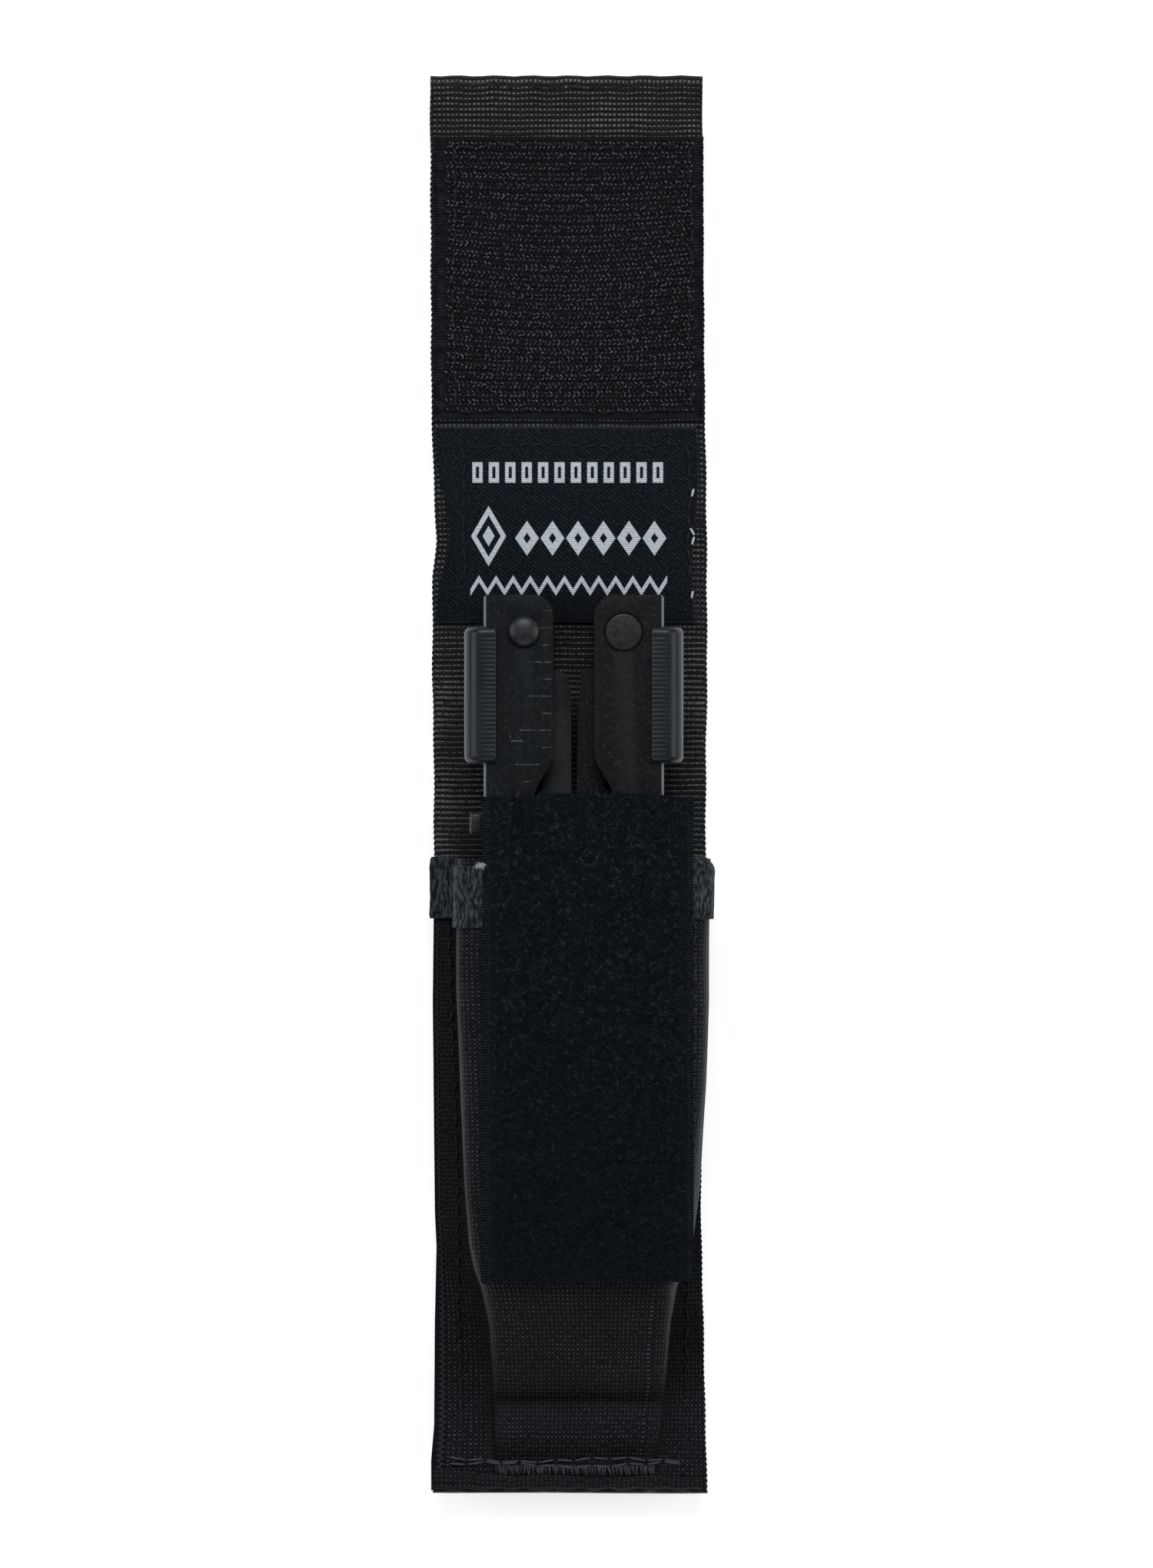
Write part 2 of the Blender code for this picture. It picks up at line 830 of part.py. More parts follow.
def implement_outlines():
    """Outlines as (inwards, down), each lying folded along its handle, its tip uppermost."""
    spine = [(0.0010, root_down), (0.0008, tip_down + 0.0150)]
    belly = slim_down + 0.0070
    knife = spine + [(0.0016, tip_down + 0.0050), (0.0030, tip_down)]
    knife += [(slim - 0.0001, tip_down + 0.0080), (slim, slim_down)]
    knife += [(wide, belly), (wide, root_down)]
    serrated = spine + [(0.0014, tip_down + 0.0030), (slim - 0.0004, tip_down + 0.0070)]
    serrated += [(slim, slim_down)]
    for i in range(int((root_down - belly) / tooth_pitch)):
        tooth = belly + i * tooth_pitch
        serrated += [(wide, tooth), (wide - tooth_depth, tooth + tooth_pitch / 2)]
    serrated += [(wide, root_down)]
    file = [(0.0010, root_down), (0.0010, tip_down + 0.0030), (slim, tip_down + 0.0030)]
    file += [(slim, slim_down + 0.0020), (wide - 0.0006, slim_down + 0.0040)]
    file += [(wide - 0.0006, root_down)]
    broad = [(0.0010, root_down), (0.0012, tip_down + 0.0050), (slim, tip_down + 0.0050)]
    broad += [(slim, slim_down), (wide - 0.0010, slim_down + 0.0050)]
    broad += [(wide - 0.0010, root_down)]
    narrow = [(0.0014, root_down), (0.0014, tip_down + 0.0110)]
    narrow += [(slim - 0.0002, tip_down + 0.0110), (slim, slim_down + 0.0030)]
    narrow += [(wide - 0.0014, slim_down + 0.0090), (wide - 0.0014, root_down)]
    opener = [(0.0010, root_down), (0.0010, tip_down + 0.0130)]
    opener += [(slim - 0.0006, tip_down + 0.0110), (slim - 0.0016, tip_down + 0.0170)]
    opener += [(slim - 0.0002, tip_down + 0.0210), (slim, slim_down)]
    opener += [(wide - 0.0002, slim_down + 0.0090), (wide - 0.0002, root_down)]
    cross = [(0.0014, root_down), (0.0014, tip_down + 0.0130), (0.0024, tip_down + 0.0090)]
    cross += [(slim - 0.0004, tip_down + 0.0130), (slim - 0.0002, root_down - 0.0060)]
    cross += [(wide - 0.0020, root_down)]
    return {
        -1: (
            ("plain_blade", knife),
            ("serrated_blade", serrated),
            ("file", file),
            ("small_screwdriver", narrow),
        ),
        1: (
            ("large_screwdriver", broad),
            ("can_opener", opener),
            ("cross_screwdriver", cross),
            ("medium_screwdriver", broad),
        ),
    }


def implements(side):
    """Four implements stacked on a handle's rear pin, with a washer's gap between them."""
    made = []
    stack = implement_outlines()[side]
    across, down = rear_pin
    place = (place_x(side, across), tool_top - down)
    for i, (name, outline) in enumerate(stack):
        middle = tool_mid_z + (i - (len(stack) - 1) / 2) * implement_pitch
        low, high = middle - implement_thickness / 2, middle + implement_thickness / 2
        blade = prism(name, mirrored(side, outline), low, high, blade_steel)
        tang = drum(name + "_tang", tang_radius, low, high, place, 28)
        neck_outline = [
            (across - 0.0036, down - 0.0110),
            (across + 0.0010, down - 0.0110),
            (across + 0.0034, down - 0.0010),
            (across - 0.0034, down - 0.0010),
        ]
        neck = prism(name + "_neck", mirrored(side, neck_outline), low, high)
        hole = drum(name + "_hole", hole_radius, low - 0.001, high + 0.001, place, 24)
        join(blade, tang, neck)
        cut(blade, hole)
        made.append(blade)
    return made


# ---------------------------------------------------------------- the whole object
backing, flap = webbing()
strap = belt_loop()
label_lower, label_upper, hook_panel = panels()
pocket, binding = pouch()
front_loop = loop_panel()
axis_empty("flap_axis", (webbing_x, fold_y, fold_z), flap, label_upper, hook_panel)

tool_pieces = []
for side, word in ((-1, "left"), (1, "right")):
    tool_pieces.append(handle(side, word))
    head_radius = 0.0029 if side < 0 else 0.0033
    tool_pieces.append(
        rivet(word + "_front_rivet", side, front_rivet, head_radius, side < 0, dark_steel)
    )
    tool_pieces.append(rivet(word + "_rear_pin", side, rear_pin, 0.0030, False, dark_steel))
    tool_pieces += implements(side)
    tool_pieces.append(grip_spring(side, word))
    grip_axis = (place_x(side, 0), tool_top - (window_top + window_bottom) / 2, tool_mid_z)
    axis_empty(word + "_grip_axis", grip_axis, grip(side, word))
    slider_axis = (place_x(side, 0), tool_top - slot_bottom, tool_mid_z)
    axis_empty(word + "_slider_axis", slider_axis, lock_slider(side, word))
axis_empty("tool_axis", (tool_x, tool_top, tool_mid_z), *tool_pieces)

head_pieces = [jaw(-1, "left", -1), jaw(1, "right", 1), plier_pivot()]
for side, word in ((-1, "left"), (1, "right")):
    head_pieces += carrier(side, word)
axis_empty("head_axis", (tool_x, tool_top - pivot_down, tool_mid_z), *head_pieces)
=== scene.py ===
import json
import math

import bpy
import numpy as np
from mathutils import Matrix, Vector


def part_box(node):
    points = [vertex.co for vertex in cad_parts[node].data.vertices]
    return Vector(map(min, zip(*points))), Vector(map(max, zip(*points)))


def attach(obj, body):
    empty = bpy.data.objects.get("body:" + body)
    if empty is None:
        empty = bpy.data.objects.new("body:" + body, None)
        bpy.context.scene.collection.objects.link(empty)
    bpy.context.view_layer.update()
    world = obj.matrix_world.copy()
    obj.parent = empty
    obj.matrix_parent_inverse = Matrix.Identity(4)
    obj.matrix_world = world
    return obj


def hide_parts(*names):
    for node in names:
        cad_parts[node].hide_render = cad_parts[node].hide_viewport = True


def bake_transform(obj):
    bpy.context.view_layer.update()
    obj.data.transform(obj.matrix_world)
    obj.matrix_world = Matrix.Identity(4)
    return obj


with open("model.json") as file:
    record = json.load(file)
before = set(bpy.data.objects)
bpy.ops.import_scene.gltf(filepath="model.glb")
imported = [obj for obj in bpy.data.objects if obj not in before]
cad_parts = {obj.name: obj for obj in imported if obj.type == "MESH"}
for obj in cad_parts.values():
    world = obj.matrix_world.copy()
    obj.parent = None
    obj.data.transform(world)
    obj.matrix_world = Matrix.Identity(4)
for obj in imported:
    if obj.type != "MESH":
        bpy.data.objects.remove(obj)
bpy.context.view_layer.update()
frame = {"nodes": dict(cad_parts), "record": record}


def corners(node):
    """The low and the high corner of a CAD node's box."""
    return [np.array(corner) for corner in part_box(node)]


def clamp(value):
    """The value held between 0 and 1."""
    return np.clip(value, 0, 1)


def shown(name, data):
    """A new object in the scene that shows the data."""
    made = bpy.data.objects.new(name, data)
    bpy.context.scene.collection.objects.link(made)
    return made


# ---- Camera, table and lights. The object lies on a white table under a camera that looks
# straight down from three metres. Soft boxes stand at its sides, beyond its flap and its foot.
webbing_low, webbing_high = corners("backing_webbing")
webbing_middle = (webbing_low[0] + webbing_high[0]) / 2
view_height = 0.2935
camera_height = 3.0

lens = bpy.data.cameras.new("camera")
camera = shown("camera", lens)
camera.location = (webbing_middle + 0.0017, -0.0001, camera_height)
lens.sensor_width = 36.0
lens.lens = lens.sensor_width * (camera_height - webbing_high[2]) / view_height
lens.clip_end = 20.0
bpy.context.scene.camera = camera
bpy.context.scene.view_settings.view_transform = "Standard"


def soft_box(name, place, size, power, colour):
    """A square area light that faces the middle of the object."""
    light = bpy.data.lights.new(name, "AREA")
    light.size = size
    light.energy = power
    light.color = colour
    lamp = shown(name, light)
    lamp.location = place
    lamp.rotation_euler = (-lamp.location).to_track_quat("-Z", "Y").to_euler()


soft_box("left_box", (-1.1, 0.15, 0.95), 0.8, 5.0, (0.86, 0.94, 1.0))
soft_box("right_box", (1.1, 0.05, 0.95), 0.8, 5.0, (0.88, 0.95, 1.0))
soft_box("top_box", (0.0, 1.1, 1.6), 0.9, 14.0, (0.9, 0.96, 1.0))
soft_box("low_box", (0.0, -1.3, 1.7), 0.9, 3.2, (0.9, 0.96, 1.0))

sky = bpy.data.worlds.new("studio")
sky.use_nodes = True
sky_light = sky.node_tree.nodes["Background"].inputs
sky_light["Color"].default_value = (1.0, 1.0, 1.0, 1.0)
sky_light["Strength"].default_value = 0.1
bpy.context.scene.world = sky

bpy.ops.mesh.primitive_plane_add(size=6.0, location=(0, 0, -0.0003))
table = bpy.context.object
table.name = "table"
white = bpy.data.materials.new("white_table")
white.use_nodes = True
for socket, setting in (
    ("Base Color", (0.93, 0.93, 0.93, 1)), ("Roughness", 0.9),
    ("Emission Color", (1, 1, 1, 1)), ("Emission Strength", 0.62),
):
    white.node_tree.nodes["Principled BSDF"].inputs[socket].default_value = setting
table.data.materials.append(white)


# ---- Webbing: one length of 2 in nylon tape. It backs the pouch, carries on as the flap, and
# its end is turned under and sewn as a hem. Woven, with a raised rib across it every millimetre.
def operator(operation, swapped=False):
    """A sum or product for Value, with its terms swapped where the value comes second."""
    def act(value, other):
        terms = (other, value) if swapped else (value, other)
        return value.finish.math(operation, *terms)

    return act


class Value:
    """A shader socket that takes part in sums and products."""

    def __init__(self, finish, socket):
        self.finish = finish
        self.socket = socket

    __add__ = __radd__ = operator("ADD")
    __sub__ = operator("SUBTRACT")
    __rsub__ = operator("SUBTRACT", swapped=True)
    __mul__ = __rmul__ = operator("MULTIPLY")
    __truediv__ = operator("DIVIDE")


class Finish:
    """A material under construction. Lengths in its patterns are in metres."""

    def __init__(self, name, colour, roughness, metallic=0.0, shine=0.12, flat=None):
        self.material = bpy.data.materials.new(name)
        self.material.use_nodes = True
        self.tree = self.material.node_tree
        self.shader = self.tree.nodes["Principled BSDF"]
        for socket, setting in (
            ("Base Color", (*colour, 1.0)), ("Roughness", roughness),
            ("Metallic", metallic), ("Specular IOR Level", shine),
        ):
            self.shader.inputs[socket].default_value = setting
        self.place = self.node("ShaderNodeTexCoord", output="Object")
        if flat:
            self.place = self.scaled(self.node("ShaderNodeTexCoord", output="UV"), (*flat, 1))
        self.x, self.y, self.z = (
            self.node("ShaderNodeSeparateXYZ", inputs={"Vector": self.place}, output=axis)
            for axis in "XYZ"
        )

    def node(self, kind, settings=None, inputs=None, output=0):
        """Adds a node, sets it up, then feeds its sockets with numbers or links."""
        made = self.tree.nodes.new(kind)
        for key, setting in (settings or {}).items():
            setattr(made, key, setting)
        for key, given in (inputs or {}).items():
            self.feed(made.inputs[key], given)
        return Value(self, made.outputs[output])

    def feed(self, socket, given):
        if isinstance(given, Value):
            self.tree.links.new(given.socket, socket)
        else:
            socket.default_value = given

    def scaled(self, place, by):
        return self.node("ShaderNodeMapping", inputs={"Vector": place, "Scale": by})

    def math(self, operation, *terms):
        return self.node("ShaderNodeMath", {"operation": operation}, dict(enumerate(terms)))

    def wave(self, along, pitch, shift=0.0):
        """A smooth wave from 0 to 1 that repeats every pitch."""
        return self.math("SINE", along * (math.tau / pitch) + shift) * 0.5 + 0.5

    def noise(self, size, detail=3.0, stretch=(1, 1, 1)):
        """Cloudy noise from 0 to 1 with features of about the given size."""
        place = self.scaled(self.place, stretch)
        inputs = {"Vector": place, "Scale": 1 / size, "Detail": detail}
        return self.node("ShaderNodeTexNoise", inputs=inputs, output="Fac")

    def step(self, given, low, high):
        """0 below low, 1 above high and smooth between."""
        inputs = {"Value": given, "From Min": low, "From Max": high}
        return self.node("ShaderNodeMapRange", {"interpolation_type": "SMOOTHSTEP"}, inputs)

    def blend(self, mask, first, second):
        """The first colour where the mask is 0, and the second where it is 1."""
        inputs = {"Factor": mask}
        inputs[6] = first if isinstance(first, Value) else (*first, 1)
        inputs[7] = second if isinstance(second, Value) else (*second, 1)
        return self.node("ShaderNodeMix", {"data_type": "RGBA"}, inputs, output=2)

    def colour(self, mask, first, second):
        """Colours the surface: first where the mask is 0, and second where it is 1."""
        self.feed(self.shader.inputs["Base Color"], self.blend(mask, first, second))

    def rough(self, given):
        self.feed(self.shader.inputs["Roughness"], given)

    def relief(self, height, depth):
        """Bump of the given depth, from a height of 0 to 1."""
        bump = self.node("ShaderNodeBump", inputs={"Height": height, "Distance": depth})
        self.feed(self.shader.inputs["Normal"], bump)


def pick(piece):
    """Leaves one piece selected and active."""
    bpy.ops.object.select_all(action="DESELECT")
    piece.select_set(True)
    bpy.context.view_layer.objects.active = piece


def use(piece, kind, **settings):
    """Adds a modifier, sets it up and applies it."""
    step = piece.modifiers.new(kind.lower(), kind)
    for key, setting in settings.items():
        setattr(step, key, setting)
    pick(piece)
    bpy.ops.object.modifier_apply(modifier=step.name)


def places_of(piece):
    """Every corner point of the piece, as an array of x, y, z."""
    places = np.empty(len(piece.data.vertices) * 3)
    piece.data.vertices.foreach_get("co", places)
    return places.reshape(-1, 3)


def move_to(piece, places):
    """Moves the piece's corner points to the given places."""
    piece.data.vertices.foreach_set("co", places.reshape(-1))
    piece.data.update()


def sheet_of(name, across, along, form, thickness, offset=0.0):
    """A grid of squares, laid by form, which gives x, y and z for arrays of u and v."""
    bpy.ops.mesh.primitive_grid_add(x_subdivisions=across, y_subdivisions=along, size=1)
    piece = bpy.context.object
    piece.name = name
    flat = places_of(piece)
    columns = len(np.unique(np.round(flat[:, 0], 6)))
    u, v = ((flat[:, axis] + 0.5).reshape(-1, columns) for axis in (0, 1))
    move_to(piece, np.stack([part.ravel() for part in np.broadcast_arrays(*form(u, v))], 1))
    piece.data.shade_smooth()
    use(piece, "SOLIDIFY", thickness=thickness, offset=offset)
    return piece


def finish_with(piece, finish, body, slot, *stands_for):
    """Gives a piece its material and body, and hides the nodes it stands for. The slot is not used.
    With no body given, the piece's placing is baked into its mesh.
    """
    piece.data.materials.clear()
    piece.data.materials.append(finish.material)
    if body:
        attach(piece, body)
    else:
        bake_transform(piece)
    if stands_for:
        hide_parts(*stands_for)
    return piece


def ripple(a, b, seed):
    """Gentle unevenness from -1 to 1 over two arrays of lengths in metres."""
    return (
        np.sin(a * 210 + b * 96 + seed) + np.sin(b * 173 - a * 131 + 2.1 * seed)
        + np.sin(a * 57 + b * 311 + 0.7 * seed)
    ) / 3


flap_low, flap_high = corners("flap_webbing")
webbing_width = webbing_high[0] - webbing_low[0]
webbing_body = 0.0013
webbing_z = (webbing_low[2] + webbing_high[2]) / 2
hem_z = (flap_low[2] + webbing_low[2]) / 2 - 0.0001
hem_turn = (webbing_z - hem_z) / 2
hem_return = 0.0135
foot_reach = 0.006
rib_pitch = 0.00102
float_pitch = 0.00082
webbing_run = flap_high[1] - webbing_low[1] + hem_return
# The drift of the tape's left and right edges, in millimetres, at heights in metres.
waver_places = (-0.133, -0.1266, -0.12, -0.1, -0.0868, -0.08, -0.067, -0.04, -0.027, 0.006,
                0.019, 0.039, 0.0455, 0.059, 0.072, 0.132)
left_waver = (0.0, 0.0, 0.55, 0.7, 1.0, 0.7, 0.55, 0.3, 0.45, 0.45, 0.2, 0.3, 1.0, 0.45, 0.1, 0.0)
right_waver = (0.4, 0.4, 0.15, -0.2, -0.5, -0.6, -0.55, 0.0, 0.3, 0.5, 0.75, 0.7, 0.7, 0.6, 0.4, 0.0)


def waver(y, t):
    """How far the worn tape has drifted to the right at y; t is 0 on its left edge, 1 on its right."""
    left, right = np.interp(y, waver_places, left_waver), np.interp(y, waver_places, right_waver)
    return (left * (1 - t) + right * t) / 1000


def webbing_form(u, v):
    """Up the back, round the end of the flap and back under it as the hem."""
    s = v * webbing_run
    turn_start = flap_high[1] - webbing_low[1] - hem_turn - webbing_body / 2 - 0.0001
    turn = clamp((s - turn_start) / (math.pi * hem_turn))
    y = webbing_low[1] + np.minimum(s, turn_start) + hem_turn * np.sin(turn * math.pi)
    y = y - np.maximum(s - turn_start - math.pi * hem_turn, 0)
    z = webbing_z - hem_turn * (1 - np.cos(turn * math.pi))
    across = (u - 0.5) * webbing_width
    lean = 0.0005 * (0.5 - (y - webbing_low[1]) / (flap_high[1] - webbing_low[1]))
    edge = clamp((np.abs(u - 0.5) * 2 - 0.93) / 0.07)
    rib = np.cos(s * math.tau / rib_pitch)
    x = webbing_middle + across + lean + waver(y, u) + np.sign(across) * edge * rib * 0.00013
    x = x + np.sign(across) * edge * 0.00007 * np.sin(y * 430 + across * 60)
    y = y + 0.00011 * np.sin(across * 900 + 1.0) * clamp((s - turn_start) / 0.002 + 2)
    lift = 0.00011 * rib * (1 - 0.5 * edge) + 0.00012 * ripple(x, y, 1.0) * (turn < 0.01)
    foot = clamp((webbing_low[1] + foot_reach - y) / foot_reach)
    return x, y, z + lift - 0.0006 * foot * np.sin(u * math.pi * 1.5)


webbing = sheet_of("webbing", 26, 1080, webbing_form, webbing_body)


def nylon_tape(name, flat):
    """Black nylon tape: rows of warp floats between the ribs, paler on their crowns."""
    tape = Finish(name, (0.012, 0.0125, 0.014), 0.6, flat=flat)
    bend = tape.noise(0.009, 2.0) * 0.0004
    row = tape.wave(tape.y + bend, rib_pitch, math.pi / 2)
    between = tape.wave(tape.y + bend, rib_pitch, -math.pi / 2)
    drift = tape.noise(0.005, 2.0) * 0.0004
    run_together = (1 - tape.step(tape.y, 0.145, 0.172)) * 0.55
    floats = tape.step(tape.wave(tape.x + drift, float_pitch), 0.2, 0.62) * 0.85 + 0.15
    floats = floats * (1 - run_together) + run_together
    offset_floats = tape.step(tape.wave(tape.x + drift, float_pitch, math.pi), 0.35, 0.75)
    fleck = tape.noise(0.0004, 2.0, (0.6, 1, 1))
    crown = tape.step(row, 0.62, 0.92) * floats
    small_crown = tape.step(between, 0.8, 0.98) * offset_floats
    strength = tape.step(fleck, 0.24, 0.58) * (tape.noise(0.007, 2.0) * 1.1 + 0.25)
    bright = (crown + small_crown * 0.3) * strength
    tape.colour(tape.math("MINIMUM", bright, 1.0), (0.008, 0.008, 0.009), (0.215, 0.208, 0.205))
    tape.rough(0.72 - crown * 0.25)
    tape.relief(crown * 0.7 + fleck * 0.3, 0.00012)
    return tape


webbing_tape = nylon_tape("nylon_webbing", (webbing_width, webbing_run))
finish_with(webbing, webbing_tape, None, "black_webbing", "backing_webbing", "flap_webbing")


# ---- Thread: bonded black nylon, about 0.4 mm thick. Each stitch is a short length that dips
# into the cloth at both ends. Rows of them hold every panel, and are made where each is sewn.
def turned(points, turns, places):
    """Copies of the points, each with its own 3 x 3 turn and its own place."""
    return np.einsum("mij,nj->mni", turns, points) + places[:, None, :]


def joined(name, laid, faces):
    """One mesh of many small copies. laid has the corner points of every copy."""
    copies, count = laid.shape[:2]
    mesh = bpy.data.meshes.new(name)
    mesh.vertices.add(copies * count)
    mesh.vertices.foreach_set("co", laid.reshape(-1))
    sizes = np.array([len(face) for face in faces])
    around = np.concatenate(faces)
    each = np.arange(copies)[:, None]
    mesh.loops.add(copies * len(around))
    mesh.loops.foreach_set("vertex_index", (around + each * count).reshape(-1))
    mesh.polygons.add(copies * len(sizes))
    starts = np.cumsum(sizes) - sizes
    mesh.polygons.foreach_set("loop_start", (starts + each * len(around)).reshape(-1))
    mesh.update(calc_edges=True)
    mesh.validate()
    mesh.shade_smooth()
    return shown(name, mesh)


def strand(rings, sides):
    """Points and faces of a thin round strand through rings of (x, y, z, radius) along x."""
    points, faces = [], []
    for x, y, z, radius in rings:
        for k in range(sides):
            angle = math.tau * k / sides
            points.append((x, y + radius * math.cos(angle), z + radius * math.sin(angle)))
    last = len(points) - sides
    for ring in range(0, last, sides):
        for k in range(sides):
            a, b = ring + k, ring + (k + 1) % sides
            faces.append((a, b, b + sides, a + sides))
    faces += [range(sides)[::-1], range(last, last + sides)]
    return np.array(points), faces


def unit(arrows):
    """The arrows, each with a length of 1."""
    return arrows / np.linalg.norm(arrows, axis=1)[:, None]


thread = Finish("black_thread", (0.019, 0.02, 0.024), 0.55, shine=0.25)
thread.relief(thread.wave(thread.x + thread.y + thread.z, 0.00035), 0.00008)
thread_radius = 0.00021
stitch_sway = 0.00018


def stitches(name, route, body, finish=thread, length=0.0031, gap=0.0007, seed=0):
    """A row of stitches along a route of (x, y, z) points, a little uneven as sewn."""
    chance = np.random.default_rng(seed)
    spans = np.linalg.norm(np.diff(route, axis=0), axis=1)
    reach = np.concatenate([[0], np.cumsum(spans)])
    starts = np.arange(gap, reach[-1] - length, length + gap)
    ends = starts + length * chance.uniform(0.88, 1.04, len(starts))
    a, b = (np.stack([np.interp(at, reach, axis) for axis in route.T], 1) for at in (starts, ends))
    side = unit(np.cross([0.0, 0.0, 1.0], b - a))
    tilt = stitch_sway * np.where(np.arange(len(a)) % 2, 1, -1)[:, None] * side
    way = (b + tilt) - (a - tilt)
    turns = np.stack([way, side, unit(np.cross(way, side))], 2)
    r = thread_radius
    rings = [(0.0, 0, -r * 1.2, r * 0.6), (0.12, 0, r * 0.1, r), (0.5, 0, r * 0.45, r * 1.05),
             (0.88, 0, r * 0.1, r), (1.0, 0, -r * 1.2, r * 0.6)]
    points, faces = strand(rings, 6)
    piece = joined(name, turned(points, turns, a - tilt), faces)
    return finish_with(piece, finish, body, "black_webbing")


def flat_turn(angle, size):
    """A turn in the table's plane, with a size in it."""
    c, s = math.cos(angle) * size, math.sin(angle) * size
    return [[c, -s, 0], [s, c, 0], [0, 0, size]]


def straight(x0, y0, x1, y1, z, wander=0.0002, steps=12, seed=0.0):
    """A sewn line between two places, not quite straight."""
    t = np.linspace(0, 1, steps)
    x, y = x0 + (x1 - x0) * t, y0 + (y1 - y0) * t
    off = wander * np.sin(t * 9 + seed)
    along = np.array([x1 - x0, y1 - y0]) / math.hypot(x1 - x0, y1 - y0)
    return np.stack([x - along[1] * off, y + along[0] * off, np.full_like(x, z)], 1)


webbing_face = webbing_z + webbing_body / 2 + 0.0001
hem_line = flap_high[1] - 0.0022
stitches(
    "hem_stitches",
    straight(webbing_low[0] + 0.002, hem_line, webbing_high[0] - 0.002, hem_line, webbing_face),
    "flap", seed=1,
)


# ---- Hook panel: the stiff half of the hook-and-loop closure. A woven tape with a ribbed
# selvage down each side and rows of cut nylon hooks, sewn to the flap with a box of stitches.
hook_low, hook_high = corners("hook_panel")
hook_width, hook_length = hook_high[0] - hook_low[0], hook_high[1] - hook_low[1]
hook_ground = hook_low[2] + 0.0006
selvage = 0.0021
selvage_pitch = 0.00052
hook_pitch = 0.00086
hook_pair_pitch = 0.00178


def row_sag(x, y):
    """How far the hook rows sag below straight, most in the upper middle of the panel."""
    across = (x - hook_low[0]) / hook_width
    up = (y - hook_low[1]) / hook_length
    return 0.0019 * np.sin(math.pi * across) * np.sin(math.pi * clamp(up)) ** 1.2


def hook_form(u, v):
    x = hook_low[0] + u * hook_width
    y = hook_low[1] + v * hook_length
    side = np.minimum(u, 1 - u) * hook_width
    border = clamp(1 - side / selvage)
    ribs = np.sin(y * math.tau / selvage_pitch)
    z = hook_ground + 0.00022 * np.sqrt(border) * (1 + 0.35 * ribs)
    z = z + 0.00006 * ripple(x, y, 3.0) + 0.0001 * np.cos(y * math.tau / 0.00195)
    x = x + np.where(u < 0.5, -1, 1) * (border > 0.85) * 0.00006 * ribs
    return x, y, z


hook_tape = sheet_of("hook_tape", 44, 440, hook_form, 0.0008, offset=-1.0)
hook_cloth = Finish("hook_tape_ground", (0.008, 0.009, 0.011), 0.6)
inside = hook_cloth.step(
    hook_cloth.math("ABSOLUTE", hook_cloth.x - (hook_low[0] + hook_high[0]) / 2),
    hook_width / 2 - selvage, hook_width / 2 - selvage + 0.0006,
)
selvage_rib = hook_cloth.wave(hook_cloth.y, selvage_pitch)
ground = hook_cloth.wave(hook_cloth.y, 0.00065) * hook_cloth.wave(hook_cloth.x, 0.0006)
hook_cloud = hook_cloth.step(hook_cloth.noise(0.0016, 3.0), 0.3, 0.7)
hook_cloth.colour(
    (inside * selvage_rib + ground * 0.45 * (1 - inside)) * hook_cloud,
    (0.0052, 0.0058, 0.0074), (0.036, 0.039, 0.045),
)
hook_cloth.relief(inside * selvage_rib + ground * (1 - inside), 0.00012)
finish_with(hook_tape, hook_cloth, "flap", "black_hook_tape", "hook_panel")


def hooks():
    """Rows of bent monofilament hooks in pairs, leaning to alternate sides."""
    chance = np.random.default_rng(7)
    r = 0.000125
    rings = [(0.0, 0, -0.0002, r), (0.00008, 0, 0.00055, r), (0.0003, 0, 0.00092, r),
             (0.00058, 0, 0.00086, r), (0.00074, 0, 0.00056, r * 0.9)]
    points, faces = strand(rings, 4)
    places, turns = [], []
    pairs = np.arange(hook_low[1] + 0.0008, hook_high[1] - 0.001, hook_pair_pitch)
    for row, y in enumerate(np.sort(np.concatenate([pairs, pairs + 0.00074]))):
        shift = chance.uniform(0, hook_pitch)
        for x in np.arange(hook_low[0] + 0.0024 + shift, hook_high[0] - 0.0018, hook_pitch):
            y_here = y - row_sag(x, y) + chance.normal(0, 0.00006)
            if y_here < hook_low[1] + 0.0009:
                continue
            angle = (math.pi - 0.85 if row % 2 else 0.85) + chance.normal(0, 0.24)
            turns.append(flat_turn(angle, chance.uniform(0.8, 1.02)))
            places.append((x + chance.normal(0, 0.00006), y_here, hook_ground))
    return joined("hooks", turned(points, np.array(turns), np.array(places)), faces)


nylon_hook = Finish("hook_nylon", (0.016, 0.017, 0.02), 0.3, shine=0.35)
nylon_hook.colour(
    nylon_hook.step(nylon_hook.noise(0.0013, 4.0), 0.35, 0.7),
    (0.014, 0.015, 0.017), (0.23, 0.234, 0.246),
)
finish_with(hooks(), nylon_hook, "flap", "black_hook_tape")
box_left, box_right = hook_low[0] + 0.0038, hook_high[0] - 0.0024
box_low, box_top = hook_low[1] + 0.0016, hook_high[1] - 0.0017
hook_top_z = hook_ground + 0.0007
for name, ends in (
    ("upper", (box_left, box_top, box_right, box_top)),
    ("lower", (box_left, box_low, box_right, box_low)),
    ("left", (box_left, box_low, box_left, box_top)),
    ("right", (box_right, box_low, box_right, box_top)),
):
    stitches(
        f"hook_{name}_stitches", straight(*ends, hook_top_z, wander=0.0003, seed=len(name)),
        "flap", seed=len(name) + 10,
    )


# ---- Label: a black satin ribbon woven with a white ornament of diamonds and bars, sewn over
# the fold on four sides. Its left edge is loose and has curled back between two stitches.
label_low, label_high = corners("label_lower")[0], corners("label_upper")[1]
label_width, label_length = label_high[0] - label_low[0], label_high[1] - label_low[1]


